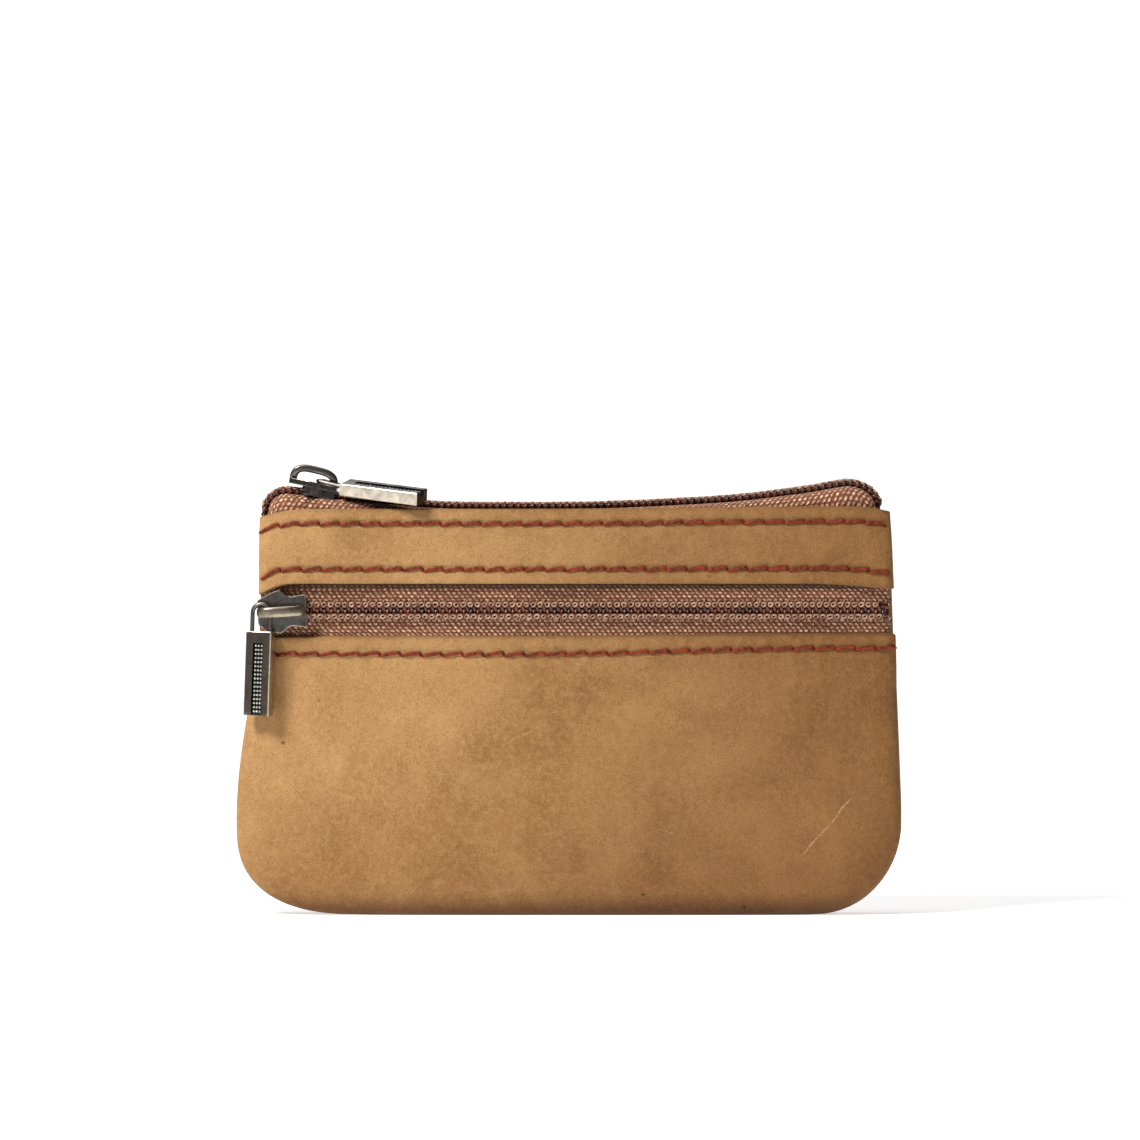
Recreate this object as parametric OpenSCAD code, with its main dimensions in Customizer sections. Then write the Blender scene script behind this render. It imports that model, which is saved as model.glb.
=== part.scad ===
// Small zippered leather pouch with a front pocket. Millimetres, +Z up, front towards -Y.
// The origin is on the surface the pouch stands on, at the middle of its flat bottom seam.

/* [Pouch] */
// Greatest width of the leather body
body_w = 121.4; // [116:0.2:126]
// Height of the leather's top edge
top_z = 74.4; // [72:0.2:76]
// Half the depth of the body at its fullest
belly_half = 7.2; // [7:0.1:7.3]
// Height at which the body is fullest
belly_z = 24; // [20:1:28]
// Half the depth at the mouth
mouth_half = 5.8; // [5.7:0.1:6]
// Half the depth of the flat bottom
base_half = 3; // [2:0.5:4]
// Thickness of the leather
leather_t = 1.2; // [1:0.1:1.3]

/* [Front zip] */
// Height of the front zip's centre line
zip_z = 55.4; // [54.8:0.1:56]
// Height of the lower panel's top edge
panel_top_z = 50.9; // [50:0.1:51]
// Height of the front band's lower edge
band_low_z = 60.4; // [60.2:0.1:61]
// Height at which both front tapes end inside
tape_reach = 8.4; // [7:0.1:8.5]

/* [Chain] */
// Half the width of the closed chain
chain_half = 1.95; // [1.9:0.05:2]
// Thickness of the chain
coil_t = 1.5; // [1.4:0.1:1.6]
// Half the slot kept between the two coils
slot_half = 0.6; // [0.55:0.05:0.7]
// Thickness of the woven tape
tape_t = 0.45; // [0.4:0.05:0.5]
// Radius of the top chain's long curve
arc_r = 383; // [375:1:395]
// Where the top chain is lowest, along X
arc_x = -4.5; // [-8:0.5:0]
// Height of the top chain's centre line at its lowest point
arc_low_z = 74.65; // [74.5:0.05:75]

/* [Sliders] */
// Length of a slider's plate
plate_l = 9.1; // [8.8:0.1:9.2]
// Half the width of the plate at its shoulders
shoulder_half = 3.9; // [3.7:0.1:3.9]
// Half the width of the plate at its narrow rear end
rear_half = 2.65; // [2.6:0.05:2.8]
// Thickness of each plate
plate_t = 1; // [0.9:0.05:1.05]
// Wire thickness of the pull ring
wire_d = 0.8; // [0.7:0.05:0.85]
// Outer width of the pull ring
ring_w = 4; // [3.9:0.05:4.1]
// Distance from the ring's lower bar to the middle of its top bend
ring_drop = 4.24; // [4:0.02:4.4]

/* [Pull tabs] */
// Width of a pull tab
tab_w = 4.9; // [4.8:0.1:5.2]
// Thickness of a pull tab
tab_t = 2.4; // [2.2:0.1:2.4]
// Length of a pull tab
tab_l = 15.3; // [14:0.1:16]
// Width of the groove down the tab's face
groove_w = 1.9; // [1.6:0.1:2.2]
// Lean of the hanging front pull
front_lean = 2; // [0:0.5:3]
// Turn of the top pull towards the front
top_yaw = 8; // [0:1:8]
// Slope of the top pull down to the right
top_pitch = 5; // [4:0.5:6]

/* [Stitching] */
// Stitch length from hole to hole
stitch_pitch = 3.76; // [3:0.02:4]
// Thickness of the thread
thread_d = 0.5; // [0.4:0.05:0.6]

/* [Hidden] */
$fn = 32;

half_w = body_w / 2;
grid_u = 48;
lining_grid_u = 36;
lining_t = 0.25;
gap = 0.1;

// Bottom corners: how far each reaches along X and Z, and how square it is
left_corner = [22, 16, 2.5];
right_corner = [15.5, 17, 2];
left_taper = 4.2;
right_taper = 2;

// Where the layers inside the leather lie
tape_in = leather_t + 0.05;
tape_back_in = tape_in + tape_t;
partition_y = 0.95;
lining_low_z = 8;
main_low_z = 5;
lining_top_z = 71.8;
pocket_top_z = 64.4;

// Front slider at rest and its place across the chain
slider_rest_x = -52;
coil_face = half_depth(zip_z) - tape_in;
coil_mid = coil_face + coil_t / 2;
channel_gap = 0.3;
plate_low = coil_t / 2 + channel_gap;
plate_high = plate_low + plate_t;
back_gap = 0.45;
back_plate_high = -coil_t / 2 - tape_t - back_gap;
back_nose = 2;
neck_l = 1.2;
wire_up = plate_high + 0.35 + wire_d / 2;
bar_low = wire_up + wire_d / 2 + 0.25;
bridge_t = 1;
bridge_half = 0.95;
pillar_half = 0.7;
pillar_x = -3.8;
pillar_y = -0.16;
rear_pillar_x = 3.35;
pillar_l = 1.2;
ring_half = (ring_w - wire_d) / 2;
tab_eye = 0.9;

// Front pull: middle of the ring's top bend, when at rest
front_pivot = [slider_rest_x + pillar_x, -coil_mid - wire_up, zip_z + pillar_y];

// Top slider at rest on the long curve
arc_z = arc_low_z + arc_r;
top_rest_x = -47;
top_rest_angle = asin((arc_x - top_rest_x) / arc_r);
top_tilt = 2;
top_wire_x = 2;
top_ring_corner = 0.7;

// ---------------------------------------------------------------- outline and section

function ramp(z, a, b) = min(1, max(0, (z - a) / (b - a)));
function ease(z, a, b) = (1 - cos(180 * ramp(z, a, b))) / 2;

// Inset of a rounded bottom corner at height z
function corner(z, c) = z >= c[1] ? 0 : c[0] * (1 - pow(1 - pow(1 - z / c[1], c[2]), 1 / c[2]));

function x_left(z) = -half_w + corner(z, left_corner) + left_taper * ease(z, 17, 58);
function x_right(z) = half_w - corner(z, right_corner) - right_taper * ramp(z, 20, top_z);
function x_mid(z) = (x_left(z) + x_right(z)) / 2;
function x_half(z) = (x_right(z) - x_left(z)) / 2;

// Half the depth of the leather body at height z
function half_depth(z) = z < belly_z
    ? base_half + (belly_half - base_half) * sqrt(1 - pow(1 - z / belly_z, 2.4))
    : belly_half - (belly_half - mouth_half) * pow((z - belly_z) / (top_z - belly_z), 2);

// How square the plan section is: the straight zip holds the front flat
function front_square(z) = 4 + 4 * ease(z, 0, 20) + 16 * ease(z, 41, 49) - 19 * ease(z, 63, top_z);
function back_square(z) = 4 + ease(z, 0, 20);

function square(side, z) = side < 0 ? front_square(z) : back_square(z);
// The linings round off sooner near the mouth, to lie inside the top zip's tapes
function lining_square(side, z) = min(square(side, z), 24 - 19.4 * ease(z, 61, 67));

// A point of a layer: side is -1 at the front and 1 at the back, u runs -1 to 1 across
function skin(side, u, z, in_x, depth, in_z, n) =
    let (s = pow(max(0, 1 - pow(abs(u), n)), 1 / n))
    [x_mid(z) + (x_half(z) - in_x) * u, side * depth * s, in_z + z * (1 - in_z / top_z)];

function across(cols) = [for (i = [0:cols]) -cos(180 * i / cols)];

// One row of a layer at a fixed inset, raised by lift at the bottom
function row(side, z, inset, lift, cols) =
    [for (u = across(cols)) skin(side, u, z, inset, half_depth(z) - inset, lift, square(side, z))];

// The row along the bottom seam, at the middle of the flat bottom
function seam_row(side, inset, cols) =
    [for (u = across(cols)) [x_mid(0) + 0.97 * (x_half(0) - inset) * u, 0, inset]];

function steps(a, b, count) = [for (i = [0:count]) a + (b - a) * i / count];
function base_steps(b, count) = [for (i = [0:count]) b * pow(i / count, 1.7)];

// ---------------------------------------------------------------- general shapes

function pair(q) = [[q[0], q[1], q[2]], [q[0], q[2], q[3]]];
// The same, cut along the other diagonal in the right half, so that the ends mirror each other
function mirrored_pair(q, right) = right ? pair([q[1], q[2], q[3], q[0]]) : pair(q);

// Closed sheet between two grids of points with the same rows and columns
module sheet(outer, inner, flip) {
    r_end = len(outer) - 1;
    c_end = len(outer[0]) - 1;
    cols = c_end + 1;
    size = (r_end + 1) * cols;
    walls = concat(
        [for (r = [0:r_end - 1]) for (c = [0:c_end - 1])
            each mirrored_pair([r * cols + c, (r + 1) * cols + c,
                (r + 1) * cols + c + 1, r * cols + c + 1], 2 * c >= c_end)],
        [for (r = [0:r_end - 1]) for (c = [0:c_end - 1])
            each mirrored_pair([size + r * cols + c, size + r * cols + c + 1,
                size + (r + 1) * cols + c + 1, size + (r + 1) * cols + c], 2 * c >= c_end)]);
    rims = concat(
        [for (c = [0:c_end - 1]) [c, c + 1, size + c + 1, size + c]],
        [for (c = [0:c_end - 1]) [r_end * cols + c + 1, r_end * cols + c,
            size + r_end * cols + c, size + r_end * cols + c + 1]],
        [for (r = [0:r_end - 1]) [(r + 1) * cols, r * cols, size + r * cols, size + (r + 1) * cols]],
        [for (r = [0:r_end - 1]) [r * cols + c_end, (r + 1) * cols + c_end,
            size + (r + 1) * cols + c_end, size + r * cols + c_end]]);
    tris = concat(walls, [for (q = rims) each pair(q)]);
    faces = flip ? [for (t = tris) [t[2], t[1], t[0]]] : tris;
    polyhedron([for (g = [outer, inner]) for (line = g) each line], faces);
}

// Round bar between two points
module rod(a, b, d) {
    v = b - a;
    translate(a)
        rotate([0, acos(v[2] / norm(v)), atan2(v[1], v[0])])
            cylinder(d = d, h = norm(v), $fn = 16);
}

// Sheet of leather or tape that follows the body between two heights
module layer(side, heights, inset, thickness, cols) {
    outer = [for (z = heights) row(side, z, inset, 0, cols)];
    inner = [for (z = heights) row(side, z, inset + thickness, 0, cols)];
    sheet(outer, inner, side > 0);
}

// Leather panel that turns under at the bottom seam
module standing_panel(side, high_z, rows) {
    heights = base_steps(high_z, rows);
    outer = concat([seam_row(side, 0, grid_u)], [for (z = heights) row(side, z, 0, 0, grid_u)]);
    inner = concat([seam_row(side, leather_t, grid_u)],
        [for (z = heights) row(side, z, leather_t, leather_t, grid_u)]);
    sheet(outer, inner, side > 0);
}

// ---------------------------------------------------------------- leather

module front_band() {
    color("#c49a68") layer(-1, steps(band_low_z, top_z, 6), 0, leather_t, grid_u);
}

module front_panel() {
    color("#c49a68") standing_panel(-1, panel_top_z, 16);
}

module back_panel() {
    color("#c0945f") standing_panel(1, top_z, 18);
}

// ---------------------------------------------------------------- thread

// One line of top stitching, each stitch slanted a little upwards to the right
module stitch_row(side, z, x_from, x_to) {
    count = floor((x_to - x_from) / stitch_pitch);
    bite = 0.42 * stitch_pitch;
    rise = 0.25;
    for (i = [0:count]) {
        x = x_from + i * stitch_pitch;
        rod(on_skin(side, x - bite, z - rise), on_skin(side, x + bite, z + rise), thread_d);
    }
}

function on_skin(side, x, z) =
    skin(side, (x - x_mid(z)) / x_half(z), z, 0, half_depth(z), 0, square(side, z));

module band_top_stitching() {
    color("#8c2f1b") stitch_row(-1, 71.6, -53.5, 55.5);
}

module band_bottom_stitching() {
    color("#8c2f1b") stitch_row(-1, 63.2, -53, 56);
}

module panel_top_stitching() {
    color("#8c2f1b") stitch_row(-1, 48.3, -53.5, 57);
}

module back_top_stitching() {
    color("#8c2f1b") stitch_row(1, 71.6, -52, 54);
}

// Hidden thread that joins front and back inside the turned seam
module seam_thread() {
    reach = 1.4;
    mid = leather_t / 2;
    color("#8c2f1b") {
        for (z = [20:stitch_pitch:72]) {
            for (x = [x_left(z) + mid, x_right(z) - mid])
                rod([x, -reach, z], [x, reach, z], thread_d);
        }
        for (x = [-32:stitch_pitch:40])
            rod([x, -reach, mid], [x, reach, mid], thread_d);
    }
}

// ---------------------------------------------------------------- front zip

module front_tape_upper() {
    heights = [zip_z + slot_half, zip_z + 4, zip_z + tape_reach];
    color("#8a5a3c") layer(-1, heights, tape_in, tape_t, grid_u);
}

module front_tape_lower() {
    heights = [zip_z - tape_reach, zip_z - 4, zip_z - slot_half];
    color("#8a5a3c") layer(-1, heights, tape_in, tape_t, grid_u);
}

// Straight half of the front chain, on the outer face of its tape
module front_coil(up) {
    low_z = up > 0 ? slot_half : -chain_half;
    translate([-55.9, -coil_face - coil_t, zip_z + low_z])
        cube([112.6, coil_t - gap, chain_half - slot_half]);
}

module front_coil_upper() {
    color("#6b3d28") front_coil(1);
}

module front_coil_lower() {
    color("#6b3d28") front_coil(-1);
}

module front_slider() {
    color("#55504a")
        translate([slider_rest_x, -coil_mid, zip_z])
            rotate([90, 0, 0])
                slider_body();
}

module front_pull_ring() {
    color("#7d756a")
        translate(front_pivot)
            rotate([0, front_lean, 0])
                pull_ring(ring_half, ring_half, ring_drop);
}

module front_pull_tab() {
    color("#5b554e")
        translate(front_pivot)
            rotate([0, front_lean, 0])
                translate([0, 0, -ring_drop])
                    pull_tab();
}

// ---------------------------------------------------------------- slider, ring and tab

// Plate outline: X along the chain with the wide end at -X, Y across it
module plate_shape(nose, nose_half, shoulder, rear) {
    end = plate_l / 2;
    polygon([[-nose, -nose_half], [-0.6, -shoulder], [1.2, -(shoulder + rear) / 2 + 0.35],
        [end - 0.2, -rear], [end - 0.2, rear], [1.2, (shoulder + rear) / 2 - 0.35],
        [-0.6, shoulder], [-nose, nose_half]]);
}

// Slider with its two plates, neck, side lips and bridge. Z points away from the pouch
module slider_body() {
    channel_half = chain_half + 0.2;
    bar_end = pillar_x - pillar_l / 2;
    bar_l = rear_pillar_x + pillar_l / 2 - bar_end;
    round_r = 0.5;
    translate([0, 0, plate_low])
        linear_extrude(plate_t)
            plate_shape(plate_l / 2, 2.3, shoulder_half, rear_half);
    translate([0, 0, back_plate_high - plate_t])
        linear_extrude(plate_t)
            plate_shape(back_nose, 2.2, shoulder_half - 0.6, rear_half - 0.1);
    translate([-back_nose, -slot_half + 0.2, back_plate_high - plate_t / 2])
        cube([neck_l, 2 * slot_half - 0.4, plate_low - back_plate_high + plate_t]);
    translate([0, 0, -coil_t / 2 + 0.3])
        linear_extrude(coil_t + 0.3)
            difference() {
                intersection() {
                    plate_shape(plate_l / 2, 2.3, shoulder_half, rear_half);
                    translate([-1.2, -5])
                        square([5.2, 10]);
                }
                square([plate_l, 2 * channel_half], center = true);
            }
    translate([pillar_x, pillar_y, plate_high - 0.2])
        cylinder(r = pillar_half, h = bar_low - plate_high + 0.5);
    translate([rear_pillar_x - pillar_l / 2, -pillar_half, plate_high - 0.2])
        cube([pillar_l, 2 * pillar_half, bar_low - plate_high + 0.5]);
    translate([0, bridge_half, 0])
        rotate([90, 0, 0])
            linear_extrude(2 * bridge_half) {
                translate([bar_end, bar_low])
                    square([bar_l, bridge_t - round_r]);
                translate([bar_end + round_r, bar_low + bridge_t - 2 * round_r])
                    square([bar_l - 2 * round_r, 2 * round_r]);
                for (x = [bar_end + round_r, bar_end + bar_l - round_r])
                    translate([x, bar_low + bridge_t - round_r])
                        circle(r = round_r);
            }
}

// Quarter bend of wire in the XZ plane, from angle a, about the point c
module wire_bend(c, r, a) {
    translate([c[0], 0, c[1]])
        rotate([90, 0, 0])
            rotate_extrude(angle = 90, start = a)
                translate([r, 0])
                    circle(d = wire_d);
}

// Closed wire ring in the XZ plane. The middle of its top bend is the origin
module pull_ring(half, top_r, drop) {
    low_r = 0.5;
    top_z0 = half - top_r;
    for (s = [-1, 1])
        translate([s * half, 0, low_r - drop])
            cylinder(d = wire_d, h = drop - low_r + top_z0);
    wire_bend([half - top_r, top_z0], top_r, 0);
    wire_bend([top_r - half, top_z0], top_r, 90);
    wire_bend([low_r - half, low_r - drop], low_r, 180);
    wire_bend([half - low_r, low_r - drop], low_r, 270);
    translate([low_r - half, 0, -drop])
        rotate([0, 90, 0])
            cylinder(d = wire_d, h = 2 * (half - low_r));
    if (top_r < half)
        translate([top_r - half, 0, top_z0 + top_r])
            rotate([0, 90, 0])
                cylinder(d = wire_d, h = 2 * (half - top_r));
}

// Flat tab that hangs from the ring's lower bar, which is its origin. Its face points to -Y
module pull_tab() {
    lug_half = ring_half - wire_d / 2 - 0.15;
    slot_w = wire_d + 0.3;
    groove_top = tab_eye - 2.15;
    groove_depth = 0.6;
    slot_deep = 1.6;
    difference() {
        translate([-tab_w / 2, -tab_t / 2, tab_eye - tab_l])
            cube([tab_w, tab_t, tab_l]);
        translate([-groove_w / 2, -tab_t / 2 - 1, tab_eye - tab_l - 1])
            cube([groove_w, groove_depth + 1, groove_top + tab_l - tab_eye + 1]);
        for (x = [lug_half, -lug_half - slot_w])
            translate([x, -1, tab_eye - slot_deep])
                cube([slot_w, 1.5, slot_deep + 1]);
        translate([-lug_half - slot_w / 2, 0, 0])
            rotate([0, 90, 0])
                cylinder(d = wire_d + 0.1, h = 2 * lug_half + slot_w);
    }
}

// ---------------------------------------------------------------- top zip

// Height of the top chain's centre line
function arc_height(x) = arc_z - sqrt(arc_r * arc_r - (x - arc_x) * (x - arc_x));

// One section of a top tape: flat beside the chain, then down inside the leather
function tape_section(side, u) =
    let (inset = tape_in + 0.15)
    let (x = x_mid(top_z) + (x_half(top_z) - inset) * u)
    let (n = square(side, top_z))
    let (s = pow(1 - pow(abs(u), n), 1 / n))
    let (far = (mouth_half - inset) * s)
    let (top = arc_height(x) - coil_t / 2)
    let (foot = 67.6)
    let (foot_far = (half_depth(foot) - inset) * s)
    [[x, side * slot_half, top], [x, side * far, top], [x, side * foot_far, foot],
     [x, side * (foot_far - tape_t), foot], [x, side * (far - tape_t), top - tape_t],
     [x, side * slot_half, top - tape_t]];

module top_tape(side) {
    ends = 0.985;
    cols = 40;
    sections = [for (i = [0:cols]) tape_section(side, -ends * cos(180 * i / cols))];
    m = 6;
    quads = [for (i = [0:cols - 1]) for (j = [0:m - 1])
        [i * m + j, i * m + (j + 1) % m, (i + 1) * m + (j + 1) % m, (i + 1) * m + j]];
    caps = [for (j = [[0, 1, 4], [0, 4, 5], [1, 2, 3], [1, 3, 4]]) each
        [[j[2], j[1], j[0]], [cols * m + j[0], cols * m + j[1], cols * m + j[2]]]];
    tris = concat([for (q = quads) each pair(q)], caps);
    faces = side > 0 ? [for (t = tris) [t[2], t[1], t[0]]] : tris;
    polyhedron([for (s = sections) each s], faces);
}

module top_tape_front() {
    color("#8a5a3c") top_tape(-1);
}

module top_tape_back() {
    color("#8a5a3c") top_tape(1);
}

// Curved half of the top chain, on the upper face of its tape
module top_coil(side) {
    left_angle = asin((-54.5 - arc_x) / arc_r);
    right_angle = asin((55 - arc_x) / arc_r);
    width = chain_half - slot_half;
    low_y = side < 0 ? -chain_half : slot_half;
    translate([arc_x, 0, arc_z])
        rotate([90, 0, 0])
            rotate_extrude(angle = right_angle - left_angle, start = 270 + left_angle)
                translate([arc_r - coil_t / 2, -low_y - width])
                    square([coil_t - gap, width]);
}

module top_coil_front() {
    color("#6b3d28") top_coil(-1);
}

module top_coil_back() {
    color("#6b3d28") top_coil(1);
}

// Moves a shape from the slider's own place onto the top chain
module on_top_chain() {
    translate([arc_x, 0, arc_z])
        rotate([0, top_rest_angle, 0])
            translate([0, 0, -arc_r])
                rotate([0, top_tilt, 0])
                    children();
}

function turned(v, a) = [v[0] * cos(a) + v[2] * sin(a), v[1], v[2] * cos(a) - v[0] * sin(a)];

// Middle of the wire where it passes under the top slider's bridge
top_wire = [arc_x, 0, arc_z]
    + turned([0, 0, -arc_r] + turned([top_wire_x, 0, wire_up], top_tilt), top_rest_angle);

// Lays a hanging ring or tab down to the right, from the wire under the bridge
module lying_pull() {
    translate(top_wire)
        rotate([0, 0, -top_yaw])
            rotate([0, top_pitch, 0])
                rotate([-90, 0, 90])
                    translate([0, 0, -ring_half])
                        children();
}

module top_slider() {
    color("#55504a") on_top_chain() slider_body();
}

module top_pull_ring() {
    color("#7d756a") lying_pull() pull_ring(ring_half, top_ring_corner, ring_drop);
}

module top_pull_tab() {
    color("#5b554e") lying_pull() translate([0, 0, -ring_drop]) pull_tab();
}

// ---------------------------------------------------------------- linings

// A leaf of lining: in_x is its side inset, and depths gives its half depth for each height
module leaf(side, heights, depths, in_x) {
    outer = [for (i = [0:len(heights) - 1])
        [for (u = across(lining_grid_u))
            skin(side, u, heights[i], in_x, depths[i], 0, lining_square(side, heights[i]))]];
    inner = [for (i = [0:len(heights) - 1])
        [for (u = across(lining_grid_u))
            skin(side, u, heights[i], in_x + lining_t, depths[i] - lining_t, 0,
                lining_square(side, heights[i]))]];
    sheet(outer, inner, side > 0);
}

// Rounds a leaf's depth in towards the seam at its bottom
function bag(z, low, near, far) = near + (far - near) * sqrt(1 - pow(1 - ramp(z, low, low + 9), 2));

module pocket_lining_front() {
    heights = steps(lining_low_z, panel_top_z - 0.6, 9);
    depths = [for (z = heights)
        bag(z, lining_low_z, partition_y + 0.35, half_depth(z) - 1.3 - 0.5 * ease(z, 41, 46))];
    color("#c9b28c") leaf(-1, heights, depths, 1.9);
}

module pocket_lining_back() {
    heights = concat(steps(lining_low_z, 20, 6), steps(28, 48, 2), steps(51, pocket_top_z, 6));
    depths = [for (z = heights)
        partition_y + (half_depth(z) - tape_back_in - gap - partition_y) * ease(z, 57.5, 63)];
    color("#c9b28c") leaf(-1, heights, depths, 2.4);
}

module main_lining_front() {
    heights = concat(steps(main_low_z, 20, 6), steps(28, 48, 2), steps(51, lining_top_z, 8));
    depths = [for (z = heights) bag(z, main_low_z, lining_t + 0.02, partition_y - 0.4)
        + (half_depth(z) - tape_back_in - 0.45 - partition_y + 0.4) * ease(z, 59, 65)];
    color("#bfa67e") leaf(-1, heights, depths, 2.9);
}

module main_lining_back() {
    heights = steps(main_low_z, lining_top_z, 12);
    depths = [for (z = heights)
        bag(z, main_low_z, lining_t + 0.02, half_depth(z) - 1.3 - 0.7 * ease(z, 60, 66))];
    color("#bfa67e") leaf(1, heights, depths, 2.9);
}

// ---------------------------------------------------------------- nodes

front_band();
front_panel();
back_panel();
band_top_stitching();
band_bottom_stitching();
panel_top_stitching();
back_top_stitching();
seam_thread();
front_tape_upper();
front_tape_lower();
front_coil_upper();
front_coil_lower();
front_slider();
front_pull_ring();
front_pull_tab();
top_tape_front();
top_tape_back();
top_coil_front();
top_coil_back();
top_slider();
top_pull_ring();
top_pull_tab();
pocket_lining_front();
pocket_lining_back();
main_lining_front();
main_lining_back();
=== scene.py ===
"""Looks of the zippered leather pouch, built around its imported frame.

Lengths inside the classes are millimetres; a mesh is scaled to metres when it is made.
+X runs right along the zips, +Y from front to back and +Z up.
"""
import logging
import math
from dataclasses import dataclass, field
from enum import Enum
from typing import Callable, Sequence

import bpy
import numpy as np
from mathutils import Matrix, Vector


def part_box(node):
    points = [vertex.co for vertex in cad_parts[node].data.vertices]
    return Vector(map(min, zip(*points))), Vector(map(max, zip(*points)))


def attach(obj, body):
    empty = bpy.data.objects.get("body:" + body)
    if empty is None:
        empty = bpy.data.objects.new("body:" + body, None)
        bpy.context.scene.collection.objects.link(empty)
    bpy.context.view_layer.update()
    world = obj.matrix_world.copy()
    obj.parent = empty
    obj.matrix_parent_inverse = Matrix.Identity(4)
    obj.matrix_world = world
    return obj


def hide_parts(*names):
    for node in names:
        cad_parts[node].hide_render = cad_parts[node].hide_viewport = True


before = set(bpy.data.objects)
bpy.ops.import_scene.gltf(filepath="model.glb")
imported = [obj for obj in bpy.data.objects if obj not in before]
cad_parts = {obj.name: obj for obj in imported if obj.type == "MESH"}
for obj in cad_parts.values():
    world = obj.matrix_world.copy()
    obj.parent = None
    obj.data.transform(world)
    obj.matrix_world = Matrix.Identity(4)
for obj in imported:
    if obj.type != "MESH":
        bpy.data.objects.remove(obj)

Array = np.ndarray
Vec = tuple[float, float, float]
Section = Callable[[Array, Array], tuple[Array, Array]]
LOG = logging.getLogger("pouch")
MM = 0.001
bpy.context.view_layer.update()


# ------------------------------------------------------------------ meshes

@dataclass
class Surface:
    """Points in millimetres and the faces between them.

    Attributes:
        points: An (n, 3) array.
        faces: Each face as a list of point numbers, counter-clockwise from outside.
        uv: Optional (n, 2) array of distances along and across the piece, in metres.
    """

    points: Array
    faces: list[list[int]]
    uv: Array | None = None

    def moved(self, matrix: Array, shift: Sequence[float]) -> "Surface":
        """Return the surface turned by a 3 by 3 matrix and then shifted."""
        return Surface(self.points @ np.asarray(matrix).T + np.asarray(shift), self.faces, self.uv)

    def make(self, name: str, smooth: bool = True) -> bpy.types.Object:
        """Make the Blender object.

        Args:
            name: The piece's name.
            smooth: Whether its faces are shaded smooth.

        Returns:
            The new object, linked to the scene.
        """
        mesh = bpy.data.meshes.new(name)
        mesh.from_pydata((self.points * MM).tolist(), [], self.faces)
        mesh.update()
        if self.uv is not None:
            corners = np.empty(len(mesh.loops), dtype=np.int32)
            mesh.loops.foreach_get("vertex_index", corners)
            layer = mesh.uv_layers.new(name="cloth")
            layer.data.foreach_set("uv", self.uv[corners].astype(np.float32).ravel())
        mesh.polygons.foreach_set("use_smooth", np.full(len(mesh.polygons), smooth))
        piece = bpy.data.objects.new(name, mesh)
        bpy.context.scene.collection.objects.link(piece)
        return piece


def joined(surfaces: Sequence[Surface]) -> Surface:
    """Join surfaces into one, keeping their points separate.

    Args:
        surfaces: Surfaces to put together.

    Returns:
        One surface with all of their faces.
    """
    starts = np.cumsum([0] + [len(s.points) for s in surfaces[:-1]])
    faces = [[int(k + i) for i in face] for k, s in zip(starts, surfaces) for face in s.faces]
    uv = None if surfaces[0].uv is None else np.concatenate([s.uv for s in surfaces])
    return Surface(np.concatenate([s.points for s in surfaces]), faces, uv)


def grid_faces(rows: int, cols: int, wrap_rows: bool = False, wrap_cols: bool = False) -> Array:
    """Quads of a grid of points stored row by row, facing along column step x row step.

    Args:
        rows: Rows of points.
        cols: Columns of points.
        wrap_rows: Whether the last row joins the first.
        wrap_cols: Whether the last column joins the first.

    Returns:
        (m, 4) point numbers of the quads.
    """
    r = np.arange(rows if wrap_rows else rows - 1)[:, None]
    c = np.arange(cols if wrap_cols else cols - 1)[None, :]
    r2, c2 = (r + 1) % rows, (c + 1) % cols
    quads = np.stack([r * cols + c, r * cols + c2, r2 * cols + c2, r2 * cols + c], axis=-1)
    return quads.reshape(-1, 4)


def tube(path: Array, section: Section, lateral: Array, normal: Array, sides: int,
         closed: bool = False) -> Surface:
    """Carry a closed section along a path.

    A point is path + a(angle, place) * lateral + b(angle, place) * normal, with place from 0 to 1.

    Args:
        path: (n, 3) centre points.
        section: Gives a and b for arrays of angle and place.
        lateral: (n, 3) or (3,) first direction of the section.
        normal: (n, 3) or (3,) second direction of the section.
        sides: Points around the section.
        closed: Whether the path's end meets its start.

    Returns:
        The tube, with flat end caps unless it is closed.
    """
    count = len(path)
    angle = np.linspace(0, 2 * np.pi, sides, endpoint=False)[None, :]
    place = np.linspace(0, 1, count)[:, None]
    a, b = section(angle, place)
    lat = np.broadcast_to(lateral, path.shape)[:, None, :]
    nor = np.broadcast_to(normal, path.shape)[:, None, :]
    points = path[:, None, :] + a[..., None] * lat + b[..., None] * nor
    quads = grid_faces(count, sides, wrap_rows=closed, wrap_cols=True).tolist()
    if not closed:
        quads += [list(range(sides))[::-1], [(count - 1) * sides + i for i in range(sides)]]
    surface = Surface(points.reshape(-1, 3), quads)
    return facing_out(surface)


def oval(wide: float, thick: float) -> Section:
    """Section of a tube that keeps the same half width and half thickness all along."""

    def section(angle: Array, place_: Array) -> tuple[Array, Array]:
        """The half width and half thickness at each angle."""
        flat = np.ones_like(place_)
        return wide * np.cos(angle) * flat, thick * np.sin(angle) * flat

    return section


def signed_volume(surface: Surface) -> float:
    """Volume enclosed by the faces, positive when they face outwards.

    Args:
        surface: A closed surface.

    Returns:
        The volume, negative if the faces look inward.
    """
    fans = [(f[0], f[i], f[i + 1]) for f in surface.faces for i in range(1, len(f) - 1)]
    a, b, c = (surface.points[np.array(fans)[:, k]] for k in range(3))
    return float((a * np.cross(b, c)).sum() / 6)


def reversed_faces(surface: Surface) -> Surface:
    """Turn every face round."""
    return Surface(surface.points, [face[::-1] for face in surface.faces], surface.uv)


def facing_out(surface: Surface) -> Surface:
    """The same closed surface with its faces outward."""
    return surface if signed_volume(surface) > 0 else reversed_faces(surface)


def run(points: Array) -> Array:
    """Distance of each point from the first, along the line through all of them."""
    steps = np.linalg.norm(np.diff(points, axis=0), axis=1)
    return np.concatenate([[0], np.cumsum(steps)])


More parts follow.
